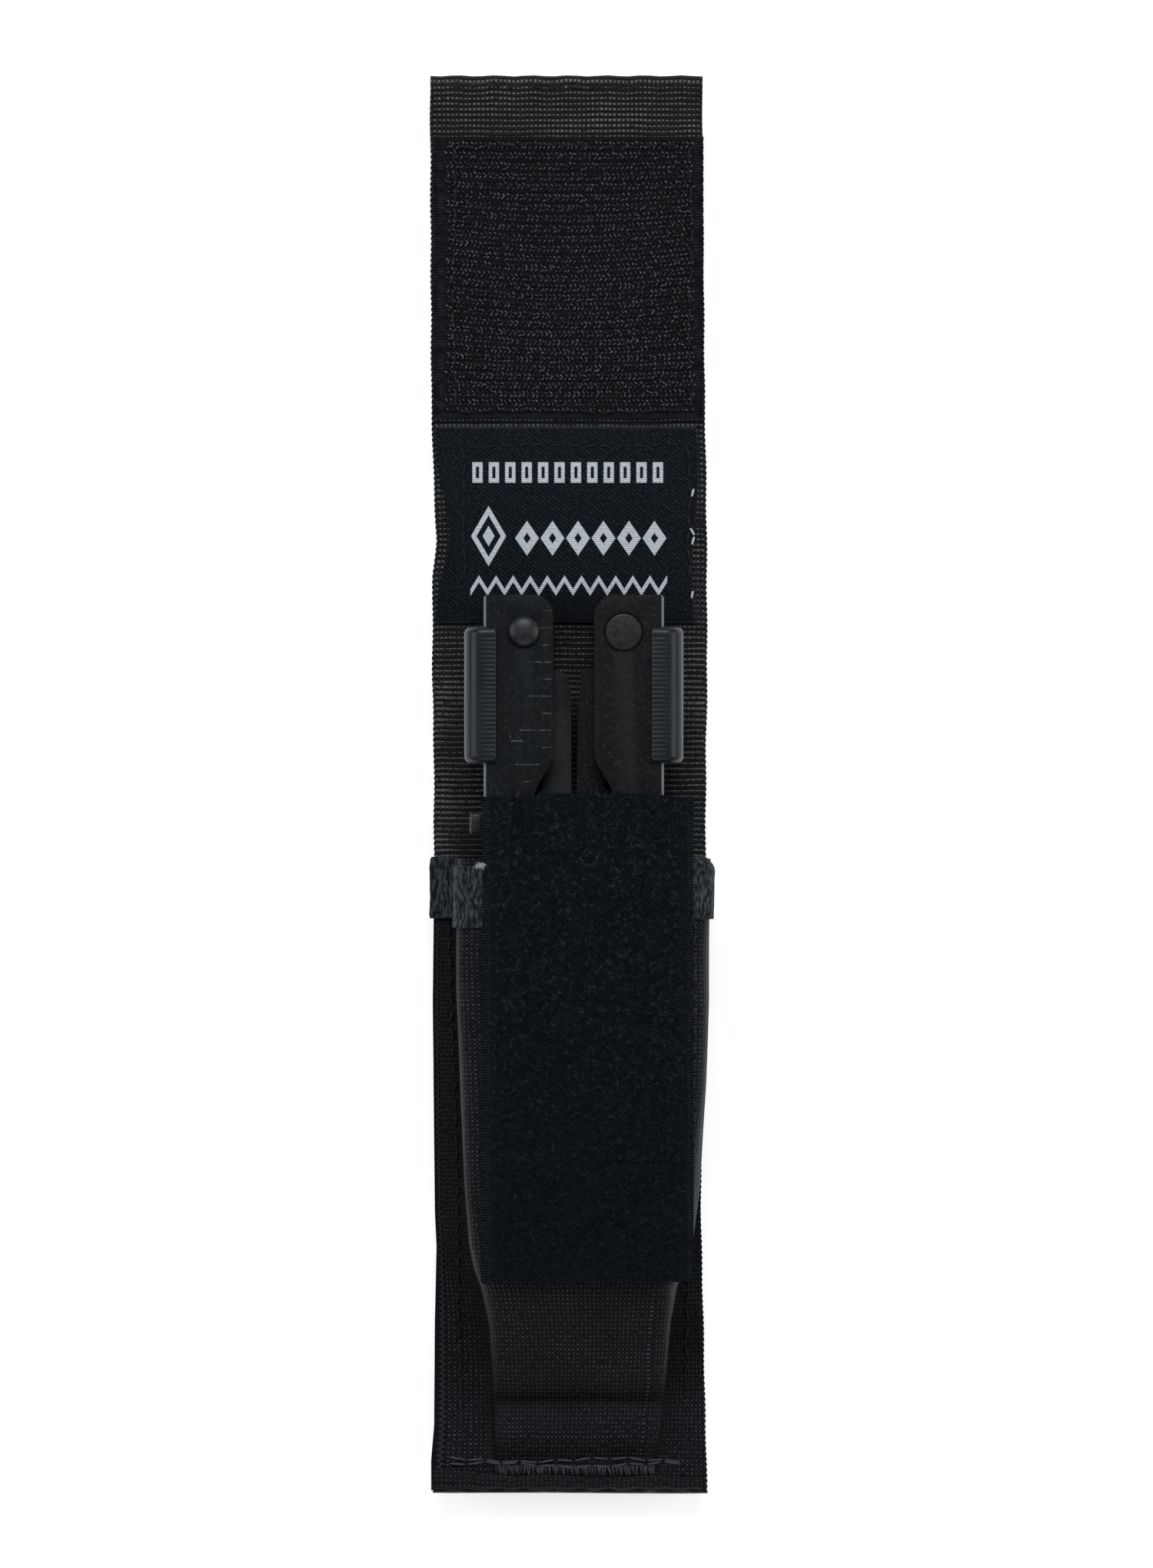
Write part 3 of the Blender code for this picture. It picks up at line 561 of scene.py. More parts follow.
def label_form(u, v):
    x = label_low[0] + u * label_width
    y = label_low[1] + v * label_length
    curl = np.exp(-(((v - 0.43) / 0.2) ** 2)) * clamp(1 - u / 0.14) ** 1.3
    tuck = np.exp(-(((v - 0.62) / 0.16) ** 2)) * clamp(1 - u / 0.1)
    x = x + 0.0023 * curl + 0.0008 * tuck
    x = x - 0.0006 * clamp((u - 0.9) / 0.1) * np.sin(v * 6.0)
    puff = np.sin(math.pi * u) ** 0.5 * np.sin(math.pi * v) ** 0.5
    z = label_low[2] + 0.00015 + 0.0002 * puff * (1 + 0.8 * ripple(x, y, 5.0))
    z = z + 0.0011 * curl + 0.0004 * tuck
    return x, y, z


label = sheet_of("label", 96, 72, label_form, 0.0003, offset=-1.0)
satin = Finish(
    "woven_label", (0.01, 0.012, 0.016), 0.45, shine=0.08, flat=(label_width, label_length)
)


def band(finish, along, low, high, soft=0.00012):
    """1 where a length lies between low and high."""
    return finish.step(along, low - soft, low + soft) * (
        1 - finish.step(along, high - soft, high + soft)
    )


def label_ornament(cloth):
    """A row of bars, a shield of nested diamonds with a row of lozenges, and a zigzag."""
    u, v = cloth.x, cloth.y
    start, end, bar_pitch = 0.0064, 0.0432, 0.00307
    first_lozenge, lozenge_pitch = 0.0146, 0.00477
    bar_step = cloth.math("FRACT", (u - start) / bar_pitch)
    bars = band(cloth, bar_step, 0.12, 0.74, 0.04) * band(cloth, v, 0.0262, 0.03)
    slot = band(cloth, bar_step, 0.33, 0.53, 0.04) * band(cloth, v, 0.027, 0.0292)
    bars = bars - bars * slot
    cell = cloth.math("FRACT", (u - first_lozenge) / lozenge_pitch) - 0.5
    small = cloth.math("ABSOLUTE", cell) * 2.05 + cloth.math("ABSOLUTE", v - 0.0158) / 0.0034
    lozenges = band(cloth, small, 0.3, 0.96, 0.04) * band(cloth, u, first_lozenge, end)
    far = cloth.math("ABSOLUTE", u - 0.0098) / 0.0034
    large = far + cloth.math("ABSOLUTE", v - 0.0162) / 0.0058
    great = band(cloth, large, 0.67, 0.97, 0.03) + (1 - cloth.step(large, 0.3, 0.36))
    tooth = cloth.math("PINGPONG", u, 0.0016) * 1.6
    zigzag = band(cloth, v - tooth, 0.005, 0.0063)
    return band(cloth, u, start, end) * (bars + zigzag) + lozenges + great


ornament = satin.math("MINIMUM", label_ornament(satin), 1.0)
twill = satin.wave(satin.x * 0.75 + satin.y, 0.00078)
woven_rows = satin.wave(satin.y, 0.00034)
glint = satin.step(twill, 0.55, 0.95) * satin.step(satin.noise(0.0007, 3.0), 0.35, 0.7)
satin_dark = satin.blend(glint, (0.0034, 0.0048, 0.0074), (0.03, 0.033, 0.039))
white_thread = satin.blend(
    satin.step(woven_rows * satin.noise(0.0006, 2.0), 0.05, 0.45),
    (0.42, 0.44, 0.48), (0.92, 0.94, 0.98),
)
rim = 1 - satin.step(satin.y, 0.0, 0.00035)
rim = rim + satin.step(satin.y, label_length - 0.0004, label_length)
rim = rim + satin.step(satin.x, label_width - 0.0003, label_width) * 0.4
satin.colour(rim * 0.8, satin.blend(ornament, satin_dark, white_thread), (0.06, 0.064, 0.07))
satin.rough(0.55 + ornament * 0.2)
satin.relief(twill * 0.35 + ornament * 0.5 + woven_rows * 0.25, 0.00007)
finish_with(label, satin, None, "label_satin", "label_lower", "label_upper")

label_face = label_low[2] + 0.00042
label_left, label_right = label_low[0] + 0.0052, label_high[0] - 0.0012
for name, ends in (
    ("upper", (label_left, label_high[1] - 0.0037, label_right, label_high[1] - 0.0034)),
    ("left", (label_left, label_low[1] + 0.008, label_left - 0.0002, label_high[1] - 0.0037)),
    ("right", (label_right, label_low[1] + 0.008, label_right, label_high[1] - 0.0034)),
):
    stitches(
        f"label_{name}_stitches", straight(*ends, label_face, seed=len(name)), None,
        seed=len(name) + 20, length=0.0024,
    )


# White thread for the tails at the label's right edge; the same white also paints a glint beside the
# loop panel.
white_tail_and_glint = Finish("white_thread", (0.7, 0.72, 0.74), 0.6)
white_tail_and_glint.relief(white_tail_and_glint.wave(white_tail_and_glint.y, 0.0003), 0.00006)
for i, (start, end) in enumerate(((0.0535, 0.056), (0.0445, 0.0487), (0.0345, 0.0365))):
    stitches(
        f"white_tail_{i}",
        straight(label_high[0] - 0.0004, start, label_high[0] - 0.0007, end, label_face + 0.0002),
        None, finish=white_tail_and_glint, length=0.0016, gap=0.0002, seed=i + 5,
    )


# ---- Pouch: plain-weave nylon, sewn to the webbing down both sides and across the foot. The
# stowed tool fills it square, and below the tool it slopes to the foot between two soft pleats.
pouch_low, pouch_high = corners("pouch")
pouch_top, pouch_foot = pouch_high[1], pouch_low[1]
pouch_base = pouch_low[2] + 0.0004
pouch_rise = pouch_high[2] - pouch_base
easing_rounds = 14
pouch_stations = (-0.014, -0.04, -0.056, -0.075, -0.086, -0.0905, -0.094, -0.1009,
                  -0.1086, -0.1155, -0.122, -0.1263, -0.1285, -0.1326)
front_height = (1.0, 1.0, 1.0, 1.0, 0.995, 0.96, 0.89, 0.7, 0.5, 0.21, 0.18, 0.035, 0.03, 0.03)
front_left = (-0.0199, -0.0199, -0.0193, -0.0183, -0.0174, -0.0164, -0.015, -0.0136, -0.0131,
              -0.013, -0.013, -0.0129, -0.0129, -0.0129)
front_right = (0.0255, 0.0254, 0.0247, 0.0232, 0.0214, 0.0196, 0.0185, 0.0176, 0.0171, 0.0168,
               0.0162, 0.0158, 0.0158, 0.0158)
base_left = (-0.0196, -0.0196, -0.0194, -0.0188, -0.018, -0.0171, -0.0158, -0.0142, -0.0136,
             -0.0135, -0.0135, -0.0134, -0.0134, -0.0134)
base_right = (0.0248, 0.0246, 0.0241, 0.0232, 0.022, 0.0204, 0.0194, 0.0183, 0.0177, 0.0173,
              0.0167, 0.0163, 0.0163, 0.0163)


def eased(grid_rows):
    """Rounds the corners of each row of points, with its ends kept."""
    for _ in range(easing_rounds):
        grid_rows[:, 1:-1] = (grid_rows[:, :-2] + 2 * grid_rows[:, 1:-1] + grid_rows[:, 2:]) / 4
    return grid_rows


def station(y, values):
    """The value at y of a table with one entry for each of the pouch's stations."""
    return np.interp(-y, -np.array(pouch_stations), values)


def pouch_form(u, v, out=0.0):
    """Flange, wall, front, wall and flange across; mouth to foot along."""
    y = pouch_top + (pouch_foot - pouch_top) * (1 - v)
    height = station(y, front_height) * pouch_rise + out
    left, right = station(y, front_left) - out, station(y, front_right) + out
    low_left, low_right = station(y, base_left) - out, station(y, base_right) + out
    flange = webbing_width / 2 + 0.0001
    x_at = (waver(y, 0) - flange, low_left, left, right, low_right, waver(y, 1) + flange)
    z_at = (0, 0, height, height, 0, 0)
    turns = (0.0, 0.1, 0.325, 0.675, 0.9, 1.0)
    shares = [np.interp(u, turns, row) for row in np.eye(len(turns))]
    x, z = (eased(sum(map(np.multiply, shares, at))) for at in (x_at, z_at))
    wall = clamp(z / pouch_rise)
    x = x + np.where(u > 0.5, 0.001, -0.0002) * np.sin(math.pi * wall) * (np.abs(u - 0.5) > 0.15)
    loose = clamp((-0.088 - y) / 0.02)
    z = z + 0.0005 * loose * wall * ripple(x * 1.6, y * 1.3, 4.0)
    z = z - 0.002 * loose * np.exp(-(((y + 0.1152) / 0.0028) ** 2)) * np.sin(u * math.pi) ** 2
    x = x + 0.00035 * wall * ripple(y * 0.8, z, 2.0)
    z = z + 0.00022 * ripple(x * 2, y * 2, 6.0) * (1 - wall)
    return webbing_middle + x, y, pouch_base + z


pouch = sheet_of("pouch_cloth", 150, 170, pouch_form, 0.0009)
pouch_girth, pouch_length = 0.098, pouch_top - pouch_foot
warp_pitch, weft_pitch = 0.00086, 0.0008


def plain_weave(name, flat, dark, pale, edge_width=0.0):
    """Thick textured nylon in plain weave: pale flecks on the crowns of the yarns."""
    cloth = Finish(name, dark, 0.68, flat=flat)
    drift = cloth.noise(0.008) * 0.0006
    warp = cloth.wave(cloth.x + drift, warp_pitch)
    weft = cloth.wave(cloth.y + drift, weft_pitch)
    fleck = cloth.noise(0.0005, 2.0, (1, 0.6, 1))
    patch = cloth.noise(0.01, 2.0)
    crown = cloth.step(warp * weft, 0.22, 0.72)
    small = cloth.step((1 - warp) * (1 - weft), 0.45, 0.85) * 0.35
    mask = (crown + small) * cloth.step(fleck, 0.3, 0.6) * (patch * 1.3 + 0.2)
    if edge_width:
        selvage_zone = 1 - cloth.step(cloth.x, edge_width * 0.8, edge_width)
        zigzag = cloth.math("PINGPONG", cloth.y, 0.00055)
        chain = band(cloth, cloth.x - zigzag * 1.6, 0.0006, 0.0012, 0.0002)
        mask = mask * (1 - selvage_zone) + chain * selvage_zone * 0.4
    cloth.colour(cloth.math("MINIMUM", mask, 1.0), dark, pale)
    cloth.relief(warp * weft * 0.8 + fleck * 0.4, 0.00018)
    return cloth


cordura = plain_weave(
    "plain_weave_nylon", (pouch_girth, pouch_length), (0.0034, 0.0036, 0.0048),
    (0.07, 0.068, 0.078), edge_width=0.0024,
)
finish_with(pouch, cordura, "sheath", "black_cordura", "pouch")


def sewn_on_pouch(route):
    """The route with each place lifted to the pouch's outer face."""
    u = np.linspace(0, 1, 151)[None, :]
    for place in route:
        v = np.full_like(u, (place[1] - pouch_foot) / (pouch_top - pouch_foot))
        x, y, z = pouch_form(u, v)
        place[2] = np.interp(place[0], x[0], z[0]) + 0.00085
    return route


for name, x_top, x_low in (("left", -0.0222, -0.0196), ("right", 0.0239, 0.0222)):
    line = straight(
        webbing_middle + x_low, pouch_foot + 0.0075, webbing_middle + x_top, pouch_top - 0.002,
        0.0, steps=20,
    )
    stitches(
        f"flange_{name}_stitches", sewn_on_pouch(line), "sheath", seed=len(name) + 30,
        length=0.0022, gap=0.0011,
    )
foot_thread = Finish("foot_thread", (0.06, 0.062, 0.067), 0.55, shine=0.25)
for i, down in enumerate((0.0048, 0.0057)):
    line = straight(
        webbing_low[0] + 0.003, pouch_foot + down, webbing_high[0] - 0.0008, pouch_foot + down,
        0.0, wander=0.00035, steps=60, seed=2.0 * i,
    )
    stitches(
        f"foot_stitches_{i}", sewn_on_pouch(line), "sheath", finish=foot_thread, seed=40 + i,
        gap=0.0003,
    )


def yarn_ends():
    """The cut ends of the cloth's own yarns, which stand out below the foot's two seams."""
    chance = np.random.default_rng(45)
    rings = [(0.0, 0, 0, 0.00016), (0.0006, 0, 0.0001, 0.0002), (0.0012, 0.0001, 0.0001, 0.00017),
             (0.0019, 0.0002, -0.0001, 0.0001)]
    points, faces = strand(rings, 5)
    turns, places = [], []
    for x in np.arange(webbing_middle - 0.0133, webbing_middle + 0.0164, 0.00039):
        angle = -math.pi / 2 + chance.normal(0, 0.16)
        turns.append(flat_turn(angle, chance.uniform(0.75, 1.15)))
        places.append([x + chance.normal(0, 0.00005), pouch_foot + 0.0047, 0.0])
    laid = turned(points, np.array(turns), sewn_on_pouch(np.array(places)))
    return joined("yarn_ends", laid, faces)


yarn = Finish("pouch_yarn", (0.02, 0.02, 0.023), 0.6)
yarn.colour(yarn.noise(0.0007, 2.0), (0.008, 0.008, 0.01), (0.095, 0.092, 0.098))
finish_with(yarn_ends(), yarn, "sheath", "black_cordura")
fold_depth = 0.0034


def foot_fold_form(u, v):
    """The webbing's and the pouch's raw ends, turned over the foot and pressed flat."""
    x = webbing_middle + (u - 0.5) * (webbing_width - 0.0004)
    reach = fold_depth - 0.0012 * clamp(u * 2.2) + 0.0003 * np.sin(u * 17)
    y = pouch_foot + 0.00035 + v * reach + 0.00015 * np.sin(u * 60) * (1 - v)
    z = pouch_base + 0.0017 + 0.00055 * np.sin(math.pi * v) + 0.00012 * ripple(x * 3, y * 5, 3.0)
    return x, y, z - 0.0006 * (1 - v) ** 3


foot_fold = sheet_of("foot_fold", 120, 12, foot_fold_form, 0.0006)
fold_cloth = plain_weave(
    "folded_end_nylon", (webbing_width, fold_depth), (0.0046, 0.0052, 0.0066), (0.05, 0.052, 0.057)
)
finish_with(foot_fold, fold_cloth, "sheath", "black_cordura")


# ---- Mouth binding: a grey-black brushed tape folded over the pouch's mouth and flat across
# its flanges, so it shows at both sides of the loop panel. Its nap has pilled.
binding_low, binding_high = corners("mouth_binding")
binding_length = binding_high[1] - binding_low[1]
binding_turn = 0.004


def binding_form(u, v):
    lap = v * (binding_length + binding_turn)
    y_want = binding_low[1] + np.minimum(lap, binding_length)
    v_pouch = (y_want - pouch_foot) / (pouch_top - pouch_foot)
    x, y, z = pouch_form(u, np.minimum(v_pouch, 1.0), out=0.0006)
    turn = clamp((lap - binding_length) / binding_turn)
    middle = webbing_middle + 0.0025
    x = x + (middle - x) * np.where(u < 0.5, 0.03, 0.08) * turn**2
    front = clamp((z - pouch_base) / pouch_rise)
    z = z + 0.0009 - 0.0009 * front - 0.002 * turn * front
    corner = clamp((y_want - binding_high[1] + 0.0022) / 0.0022) ** 2
    x = x - 0.0014 * corner * (u > 0.5) - 0.0005 * (u < 0.06)
    y = y_want + 0.0007 * np.sin(turn * math.pi) - 0.0016 * turn
    raised = clamp((z - pouch_base - 0.002) / 0.004) * (u < 0.5)
    y = y - 0.0016 * raised
    pill = 0.0001 * ripple(x * 9, (y + z) * 9, 8.0)
    lift = np.where(u < 0.09, 0.0003, 0.0) + np.where(u > 0.91, 0.0002, 0.0)
    return x + np.where(u < 0.5, -1, 1) * (0.0002 + pill), y + pill * 0.5, z + lift + pill


binding = sheet_of("mouth_binding_tape", 150, 26, binding_form, 0.0009)
brushed = Finish("brushed_binding", (0.02, 0.023, 0.026), 0.9)
nap = brushed.noise(0.0007, 4.0, (1.7, 0.45, 1))
brushed.colour(brushed.step(nap, 0.36, 0.76), (0.007, 0.0085, 0.011), (0.092, 0.102, 0.112))
brushed.relief(nap, 0.0003)
finish_with(binding, brushed, "sheath", "grey_binding", "mouth_binding")


# ---- Loop panel: the soft half of the closure, a tape of tangled nylon loops with ribbed
# selvages. It is sewn to the pouch's front, and its top end stands free above the mouth.
loop_low, loop_high = corners("loop_panel")
loop_width, loop_length = loop_high[0] - loop_low[0], loop_high[1] - loop_low[1]
loop_face = loop_high[2] - 0.0006


def loop_drop(u, v):
    """How far the panel's surface lies below its highest line."""
    edge = np.abs(u - 0.5) * 2
    return 0.0009 * edge**6 + 0.0005 * (1 - v) ** 8 + 0.0003 * edge**2


def loop_form(u, v):
    side = np.minimum(u, 1 - u) * loop_width
    x = loop_low[0] + u * (loop_width - 0.001 - 0.0004 * (1 - v))
    y = loop_low[1] + v * loop_length
    x = x + 0.00045 * np.sin(v * 5.0 + 0.6) * np.where(u < 0.5, -1, 1) * (side < 0.003) * 0.4
    y = y + 0.0009 * (v > 0.98) * np.sin(u * math.pi) - 0.0003 * (v > 0.98)
    border = clamp(1 - side / np.where(u < 0.5, 0.0021, 0.0011))
    ribs = np.sin(y * math.tau / selvage_pitch)
    z = loop_face - loop_drop(u, v) - 0.0005 * (border > 0) + 0.00008 * border * ribs
    z = z + 0.00022 * ripple(x * 3, y * 3, 9.0) * (border <= 0)
    return x, y, z


loop_tape = sheet_of("loop_tape", 60, 700, loop_form, 0.0019, offset=-1.0)
pile = Finish("loop_pile", (0.0066, 0.0078, 0.0098), 0.95, shine=0.05)
loop_middle = float(loop_low[0] + loop_high[0]) / 2 - 0.0002
on_selvage = pile.step(
    pile.math("ABSOLUTE", pile.x - loop_middle), loop_width / 2 - 0.0022, loop_width / 2 - 0.0019
)
pile_noise = pile.noise(0.0007, 5.0)
pile_rib = pile.wave(pile.y, selvage_pitch)
pile.colour(
    on_selvage * pile_rib * pile.step(pile_noise, 0.3, 0.65) * 0.8
    + (1 - on_selvage) * pile.step(pile_noise, 0.45, 0.85) * 0.4,
    (0.0062, 0.008, 0.0108), (0.03, 0.038, 0.047),
)
pile.relief(pile_noise * (1 - on_selvage) * 1.5 + on_selvage * pile_rib * 0.4, 0.0003)
finish_with(loop_tape, pile, "sheath", "black_loop_tape", "loop_panel")
fibre_radius = 0.000038


def fibres(name, count, spread, place, finish, slot, seed):
    """Many short curved fibres. place gives x, y, z and an outward way for random u and v."""
    chance = np.random.default_rng(seed)
    rings = [(0.0, 0, -0.05, 1.0), (0.35, 0.06, 0.2, 1.0), (0.7, 0.1, 0.22, 0.8),
             (1.0, 0.02, 0.02, 0.5)]
    points, faces = strand(rings, 3)
    middle = np.repeat([ring[:3] for ring in rings], 3, axis=0)
    u, v = chance.random(count), chance.random(count)
    spot, out = place(u, v)
    length = chance.uniform(*spread, count)
    angle = chance.uniform(0, math.tau, count)
    any_way = np.stack([np.cos(angle), np.sin(angle), chance.normal(0, 0.3, count)], 1)
    along = unit(np.cross(out, any_way) + out * chance.normal(0, 0.35, count)[:, None])
    side = unit(np.cross(out, along))
    turns = np.stack([along, side, np.cross(along, side)], 2)
    laid = np.einsum("mij,nj->mni", turns * length[:, None, None], middle)
    laid += turned(points - middle, turns * fibre_radius, spot)
    finish_with(joined(name, laid, faces), finish, "sheath", slot)


def on_loop(u, v):
    u = 0.055 + u * 0.89
    x, y, z = loop_form(u[None, :], v[None, :])
    out = np.tile([0.0, 0.0, 1.0], (len(u), 1))
    return np.stack([x[0], y[0], z[0]], 1), out


pile_fibre = Finish("pile_fibre", (0.01, 0.012, 0.015), 0.6)
pile_fibre.colour(
    pile_fibre.step(pile_fibre.noise(0.0011, 3.0), 0.45, 0.72)
    * (pile_fibre.step(pile_fibre.y, loop_low[1] - 0.02, loop_high[1]) * 0.7 + 0.3),
    (0.008, 0.01, 0.013), (0.098, 0.114, 0.132),
)
fibres("loop_fibres", 12000, (0.0009, 0.0022), on_loop, pile_fibre, "black_loop_tape", 51)


def at_painted_glint(u, v):
    """Where a small bright glint is painted with white fibres: beside the panel's left edge, on the
    top of the binding.
    """
    x = webbing_middle - 0.0168 + u * 0.0012
    y = binding_high[1] - 0.0014 + v * 0.0007
    z = np.full_like(u, binding_high[2] + 0.0004)
    return np.stack([x, y, z], 1), np.tile([0.0, 0.3, 0.95], (len(u), 1))


# These white fibres paint a small bright glint at the left of the mouth.
fibres("painted_glint_fibres", 70, (0.0004, 0.0009), at_painted_glint, white_tail_and_glint, "black_webbing", 61)
sunk_thread = Finish("sunk_thread", (0.0075, 0.009, 0.0115), 0.8, shine=0.05)
loop_left, loop_right = loop_low[0] + 0.0026, loop_high[0] - 0.0026
loop_foot, loop_top = loop_low[1] + 0.002, pouch_top - 0.001
for name, ends in (
    ("left", (loop_left, loop_foot, loop_left, loop_top)),
    ("right", (loop_right, loop_foot, loop_right, loop_top)),
    ("lower", (loop_left, loop_foot + 0.0002, loop_right, loop_foot + 0.0002)),
):
    stitches(
        f"loop_{name}_stitches", straight(*ends, loop_face - 0.0012, seed=len(name)), "sheath",
        finish=sunk_thread, seed=len(name) + 60, length=0.003,
    )


# ---- Belt loop: a second length of nylon tape, sewn at the foot with the webbing and again
# below the flap, and standing off the back between so that a belt passes under it.
strap_low, strap_high = corners("belt_loop")
strap_top_z = strap_high[2] - 0.0008
strap_flat_z = strap_low[2] + 0.0008


def strap_form(u, v):
    x = strap_low[0] + u * (strap_high[0] - strap_low[0])
    y = strap_low[1] + v * (strap_high[1] - strap_low[1])
    stood = np.interp(y, (-0.0625, -0.055, 0.001, 0.008), (0.0, 1.0, 1.0, 0.0))
    stood = stood * stood * (3 - 2 * stood)
    z = strap_top_z + (strap_flat_z - strap_top_z) * stood
    return x, y, z - 0.00007 * np.cos(y * math.tau / rib_pitch)


strap = sheet_of("belt_loop_strap", 16, 620, strap_form, 0.0013)
strap_width, strap_run = (float(side) for side in (strap_high - strap_low)[:2])
strap_tape = nylon_tape("nylon_strap", (strap_width, strap_run))
finish_with(strap, strap_tape, "sheath", "black_webbing", "belt_loop")
for i, y in enumerate((0.01, 0.0165, -0.065, -0.072)):
    stitches(
        f"strap_stitches_{i}",
        straight(strap_low[0] + 0.003, y, strap_high[0] - 0.003, y, strap_top_z - 0.0008),
        "sheath", seed=70 + i,
    )


# ---- Handles: two channels folded from sheet steel and blacked. The blacking is mottled brown
# and specked, and a pale highlight is painted along each outer edge.
def from_node(name, node, width, body, finish, slot, segments=2):
    """A copy of a CAD node with its sharp edges broken."""
    piece = shown(name, frame["nodes"][node].data.copy())
    pick(piece)
    bpy.ops.object.mode_set(mode="EDIT")
    bpy.ops.mesh.select_all(action="SELECT")
    bpy.ops.mesh.remove_doubles(threshold=1e-6)
    bpy.ops.mesh.dissolve_limited(angle_limit=0.02)
    bpy.ops.object.mode_set(mode="OBJECT")
    use(
        piece, "BEVEL", width=width, segments=segments, limit_method="ANGLE",
        angle_limit=0.7, use_clamp_overlap=True, harden_normals=False,
    )
    bpy.ops.object.shade_smooth_by_angle(angle=0.6)
    return finish_with(piece, finish, body, slot, node)


left_low, left_high = corners("left_handle")
right_edge = corners("right_handle")[1][0]
tool_middle = float(left_low[0] + right_edge) / 2
outer_reach = float(right_edge) - tool_middle
inner_edge, tool_top, plate_front = map(float, left_high)


def oxide(name, dark, stain, stain_at):
    """Blacked steel with brown stains, light specks and a painted highlight along the outer edges."""
    steel = Finish(name, dark, 0.42, shine=0.14)
    cloud = steel.noise(0.007, 4.0)
    grain = steel.noise(0.0007, 3.0)
    specks = steel.step(steel.noise(0.00042, 1.0), 0.7, 0.76)
    mottled = steel.blend(steel.step(cloud, stain_at, stain_at + 0.25), dark, stain)
    mottled = steel.blend(steel.step(grain, 0.45, 0.75) * 0.42, mottled, (0.03, 0.031, 0.034))
    mottled = steel.blend(specks * 0.7, mottled, (0.1, 0.1, 0.105))
    # A pale highlight is painted along each handle's outer edge, broken up by noise.
    across = steel.math("ABSOLUTE", steel.x - tool_middle)
    painted_edge_highlight = steel.step(across, outer_reach - 0.00052, outer_reach - 0.00034)
    painted_edge_highlight = painted_edge_highlight * steel.step(steel.noise(0.004, 2.0, (1, 0.3, 1)), 0.15, 0.4)
    steel.colour(painted_edge_highlight, mottled, (0.22, 0.23, 0.24))
    steel.rough(0.4 + grain * 0.24 - painted_edge_highlight * 0.1)
    steel.relief(grain * 0.5 + cloud * 0.3, 0.00004)
    return steel


for word, dark, stain, stain_at in (
    ("left", (0.005, 0.0064, 0.0084), (0.0082, 0.0074, 0.0074), 0.48),
    ("right", (0.0062, 0.0068, 0.008), (0.0096, 0.008, 0.0078), 0.36),
):
    steel = oxide(word + "_oxide", dark, stain, stain_at)
    from_node(word + "_handle_plates", word + "_handle", 0.00022, "tool", steel, "oxide_steel")


# ---- Ruler: marks etched an eighth of an inch apart along the left handle's inner edge, longer
# at each quarter and half inch. They stand a hair proud as the pale lines do on blacked steel.
mark_pitch = 0.003175
first_mark = 0.003
mark_height = 0.00006


def block(place, size):
    """A box of the given size, with its measures applied."""
    bpy.ops.mesh.primitive_cube_add(size=1, location=place, scale=size)
    bpy.ops.object.transform_apply(location=True, rotation=True, scale=True)
    return bpy.context.object


def join(pieces):
    """Makes the pieces into one, under the first one's name."""
    pick(pieces[0])
    for piece in pieces:
        piece.select_set(True)
    bpy.ops.object.join()


etched = Finish("etched_mark", (0.07, 0.072, 0.076), 0.5)
etched.colour(
    etched.step(etched.noise(0.0009, 2.0), 0.35, 0.65), (0.018, 0.019, 0.021), (0.13, 0.134, 0.14)
)
marks = []
for i in range(11):
    length = 0.006 if i == 7 else 0.0044 if i % 2 else 0.0019
    start = inner_edge - (0.0026 if i == 9 else 0.004 if i == 10 else 0.0003)
    place = (start - length / 2, tool_top - first_mark - i * mark_pitch, plate_front)
    marks.append(block(place, (length, 0.00017, mark_height)))
for dx, dy, wide, tall in ((0.0069, 0.0272, 0.0022, 0.00022), (0.008, 0.0264, 0.0002, 0.001)):
    place = (inner_edge - dx, tool_top - dy, plate_front)
    marks.append(block(place, (wide, tall, mark_height)))
join(marks)
ruler = marks[0]
ruler.name = "ruler_marks"
use(ruler, "BEVEL", width=0.00003, segments=1)
finish_with(ruler, etched, "tool", "oxide_steel")


# ---- Rivets and pins: solid steel, blacked. The left front rivet has a domed head, the right
# one a flat head in a shallow counterbore, whose groove is a near-black ring of painted shade,
# and the two rear pins carry the implements.
black_steel = Finish("black_steel", (0.01, 0.011, 0.013), 0.34, shine=0.5)
steel_grain = black_steel.noise(0.0012, 4.0)
black_steel.colour(
    black_steel.step(steel_grain, 0.35, 0.75), (0.0075, 0.0085, 0.01), (0.022, 0.023, 0.025)
)
black_steel.rough(0.28 + steel_grain * 0.22)
black_steel.relief(steel_grain, 0.00003)
for word, dome in (("left", 0.85), ("right", 0.16)):
    from_node(word + "_rear_pin_head", word + "_rear_pin", 0.00012, "tool", black_steel, "dark_steel")
    head = from_node(
        word + "_front_rivet_head", word + "_front_rivet", 0.00012, "tool", black_steel, "dark_steel"
    )
    places = places_of(head)
    proud = places[:, 2] - plate_front
    places[:, 2] = np.where(proud > 0, plate_front + proud * dome, places[:, 2])
    move_to(head, places)

# A near-black ring round the right rivet's head: painted shade where the counterbore's groove lies.
rivet_middle = sum(corners("right_front_rivet")) / 2
bpy.ops.mesh.primitive_torus_add(
    major_segments=64, minor_segments=10, major_radius=0.00352, minor_radius=0.00022,
    location=(rivet_middle[0], rivet_middle[1], plate_front + 0.00002),
)
bpy.ops.object.transform_apply(location=True, rotation=True, scale=True)
counterbore = bpy.context.object
counterbore.name = "rivet_counterbore_ring"
counterbore.data.shade_smooth()
groove_shade_finish = Finish("painted_groove_shade", (0.004, 0.004, 0.005), 0.7)
groove_shade_finish.relief(groove_shade_finish.noise(0.0005), 0.0001)
finish_with(counterbore, groove_shade_finish, "tool", "dark_steel")


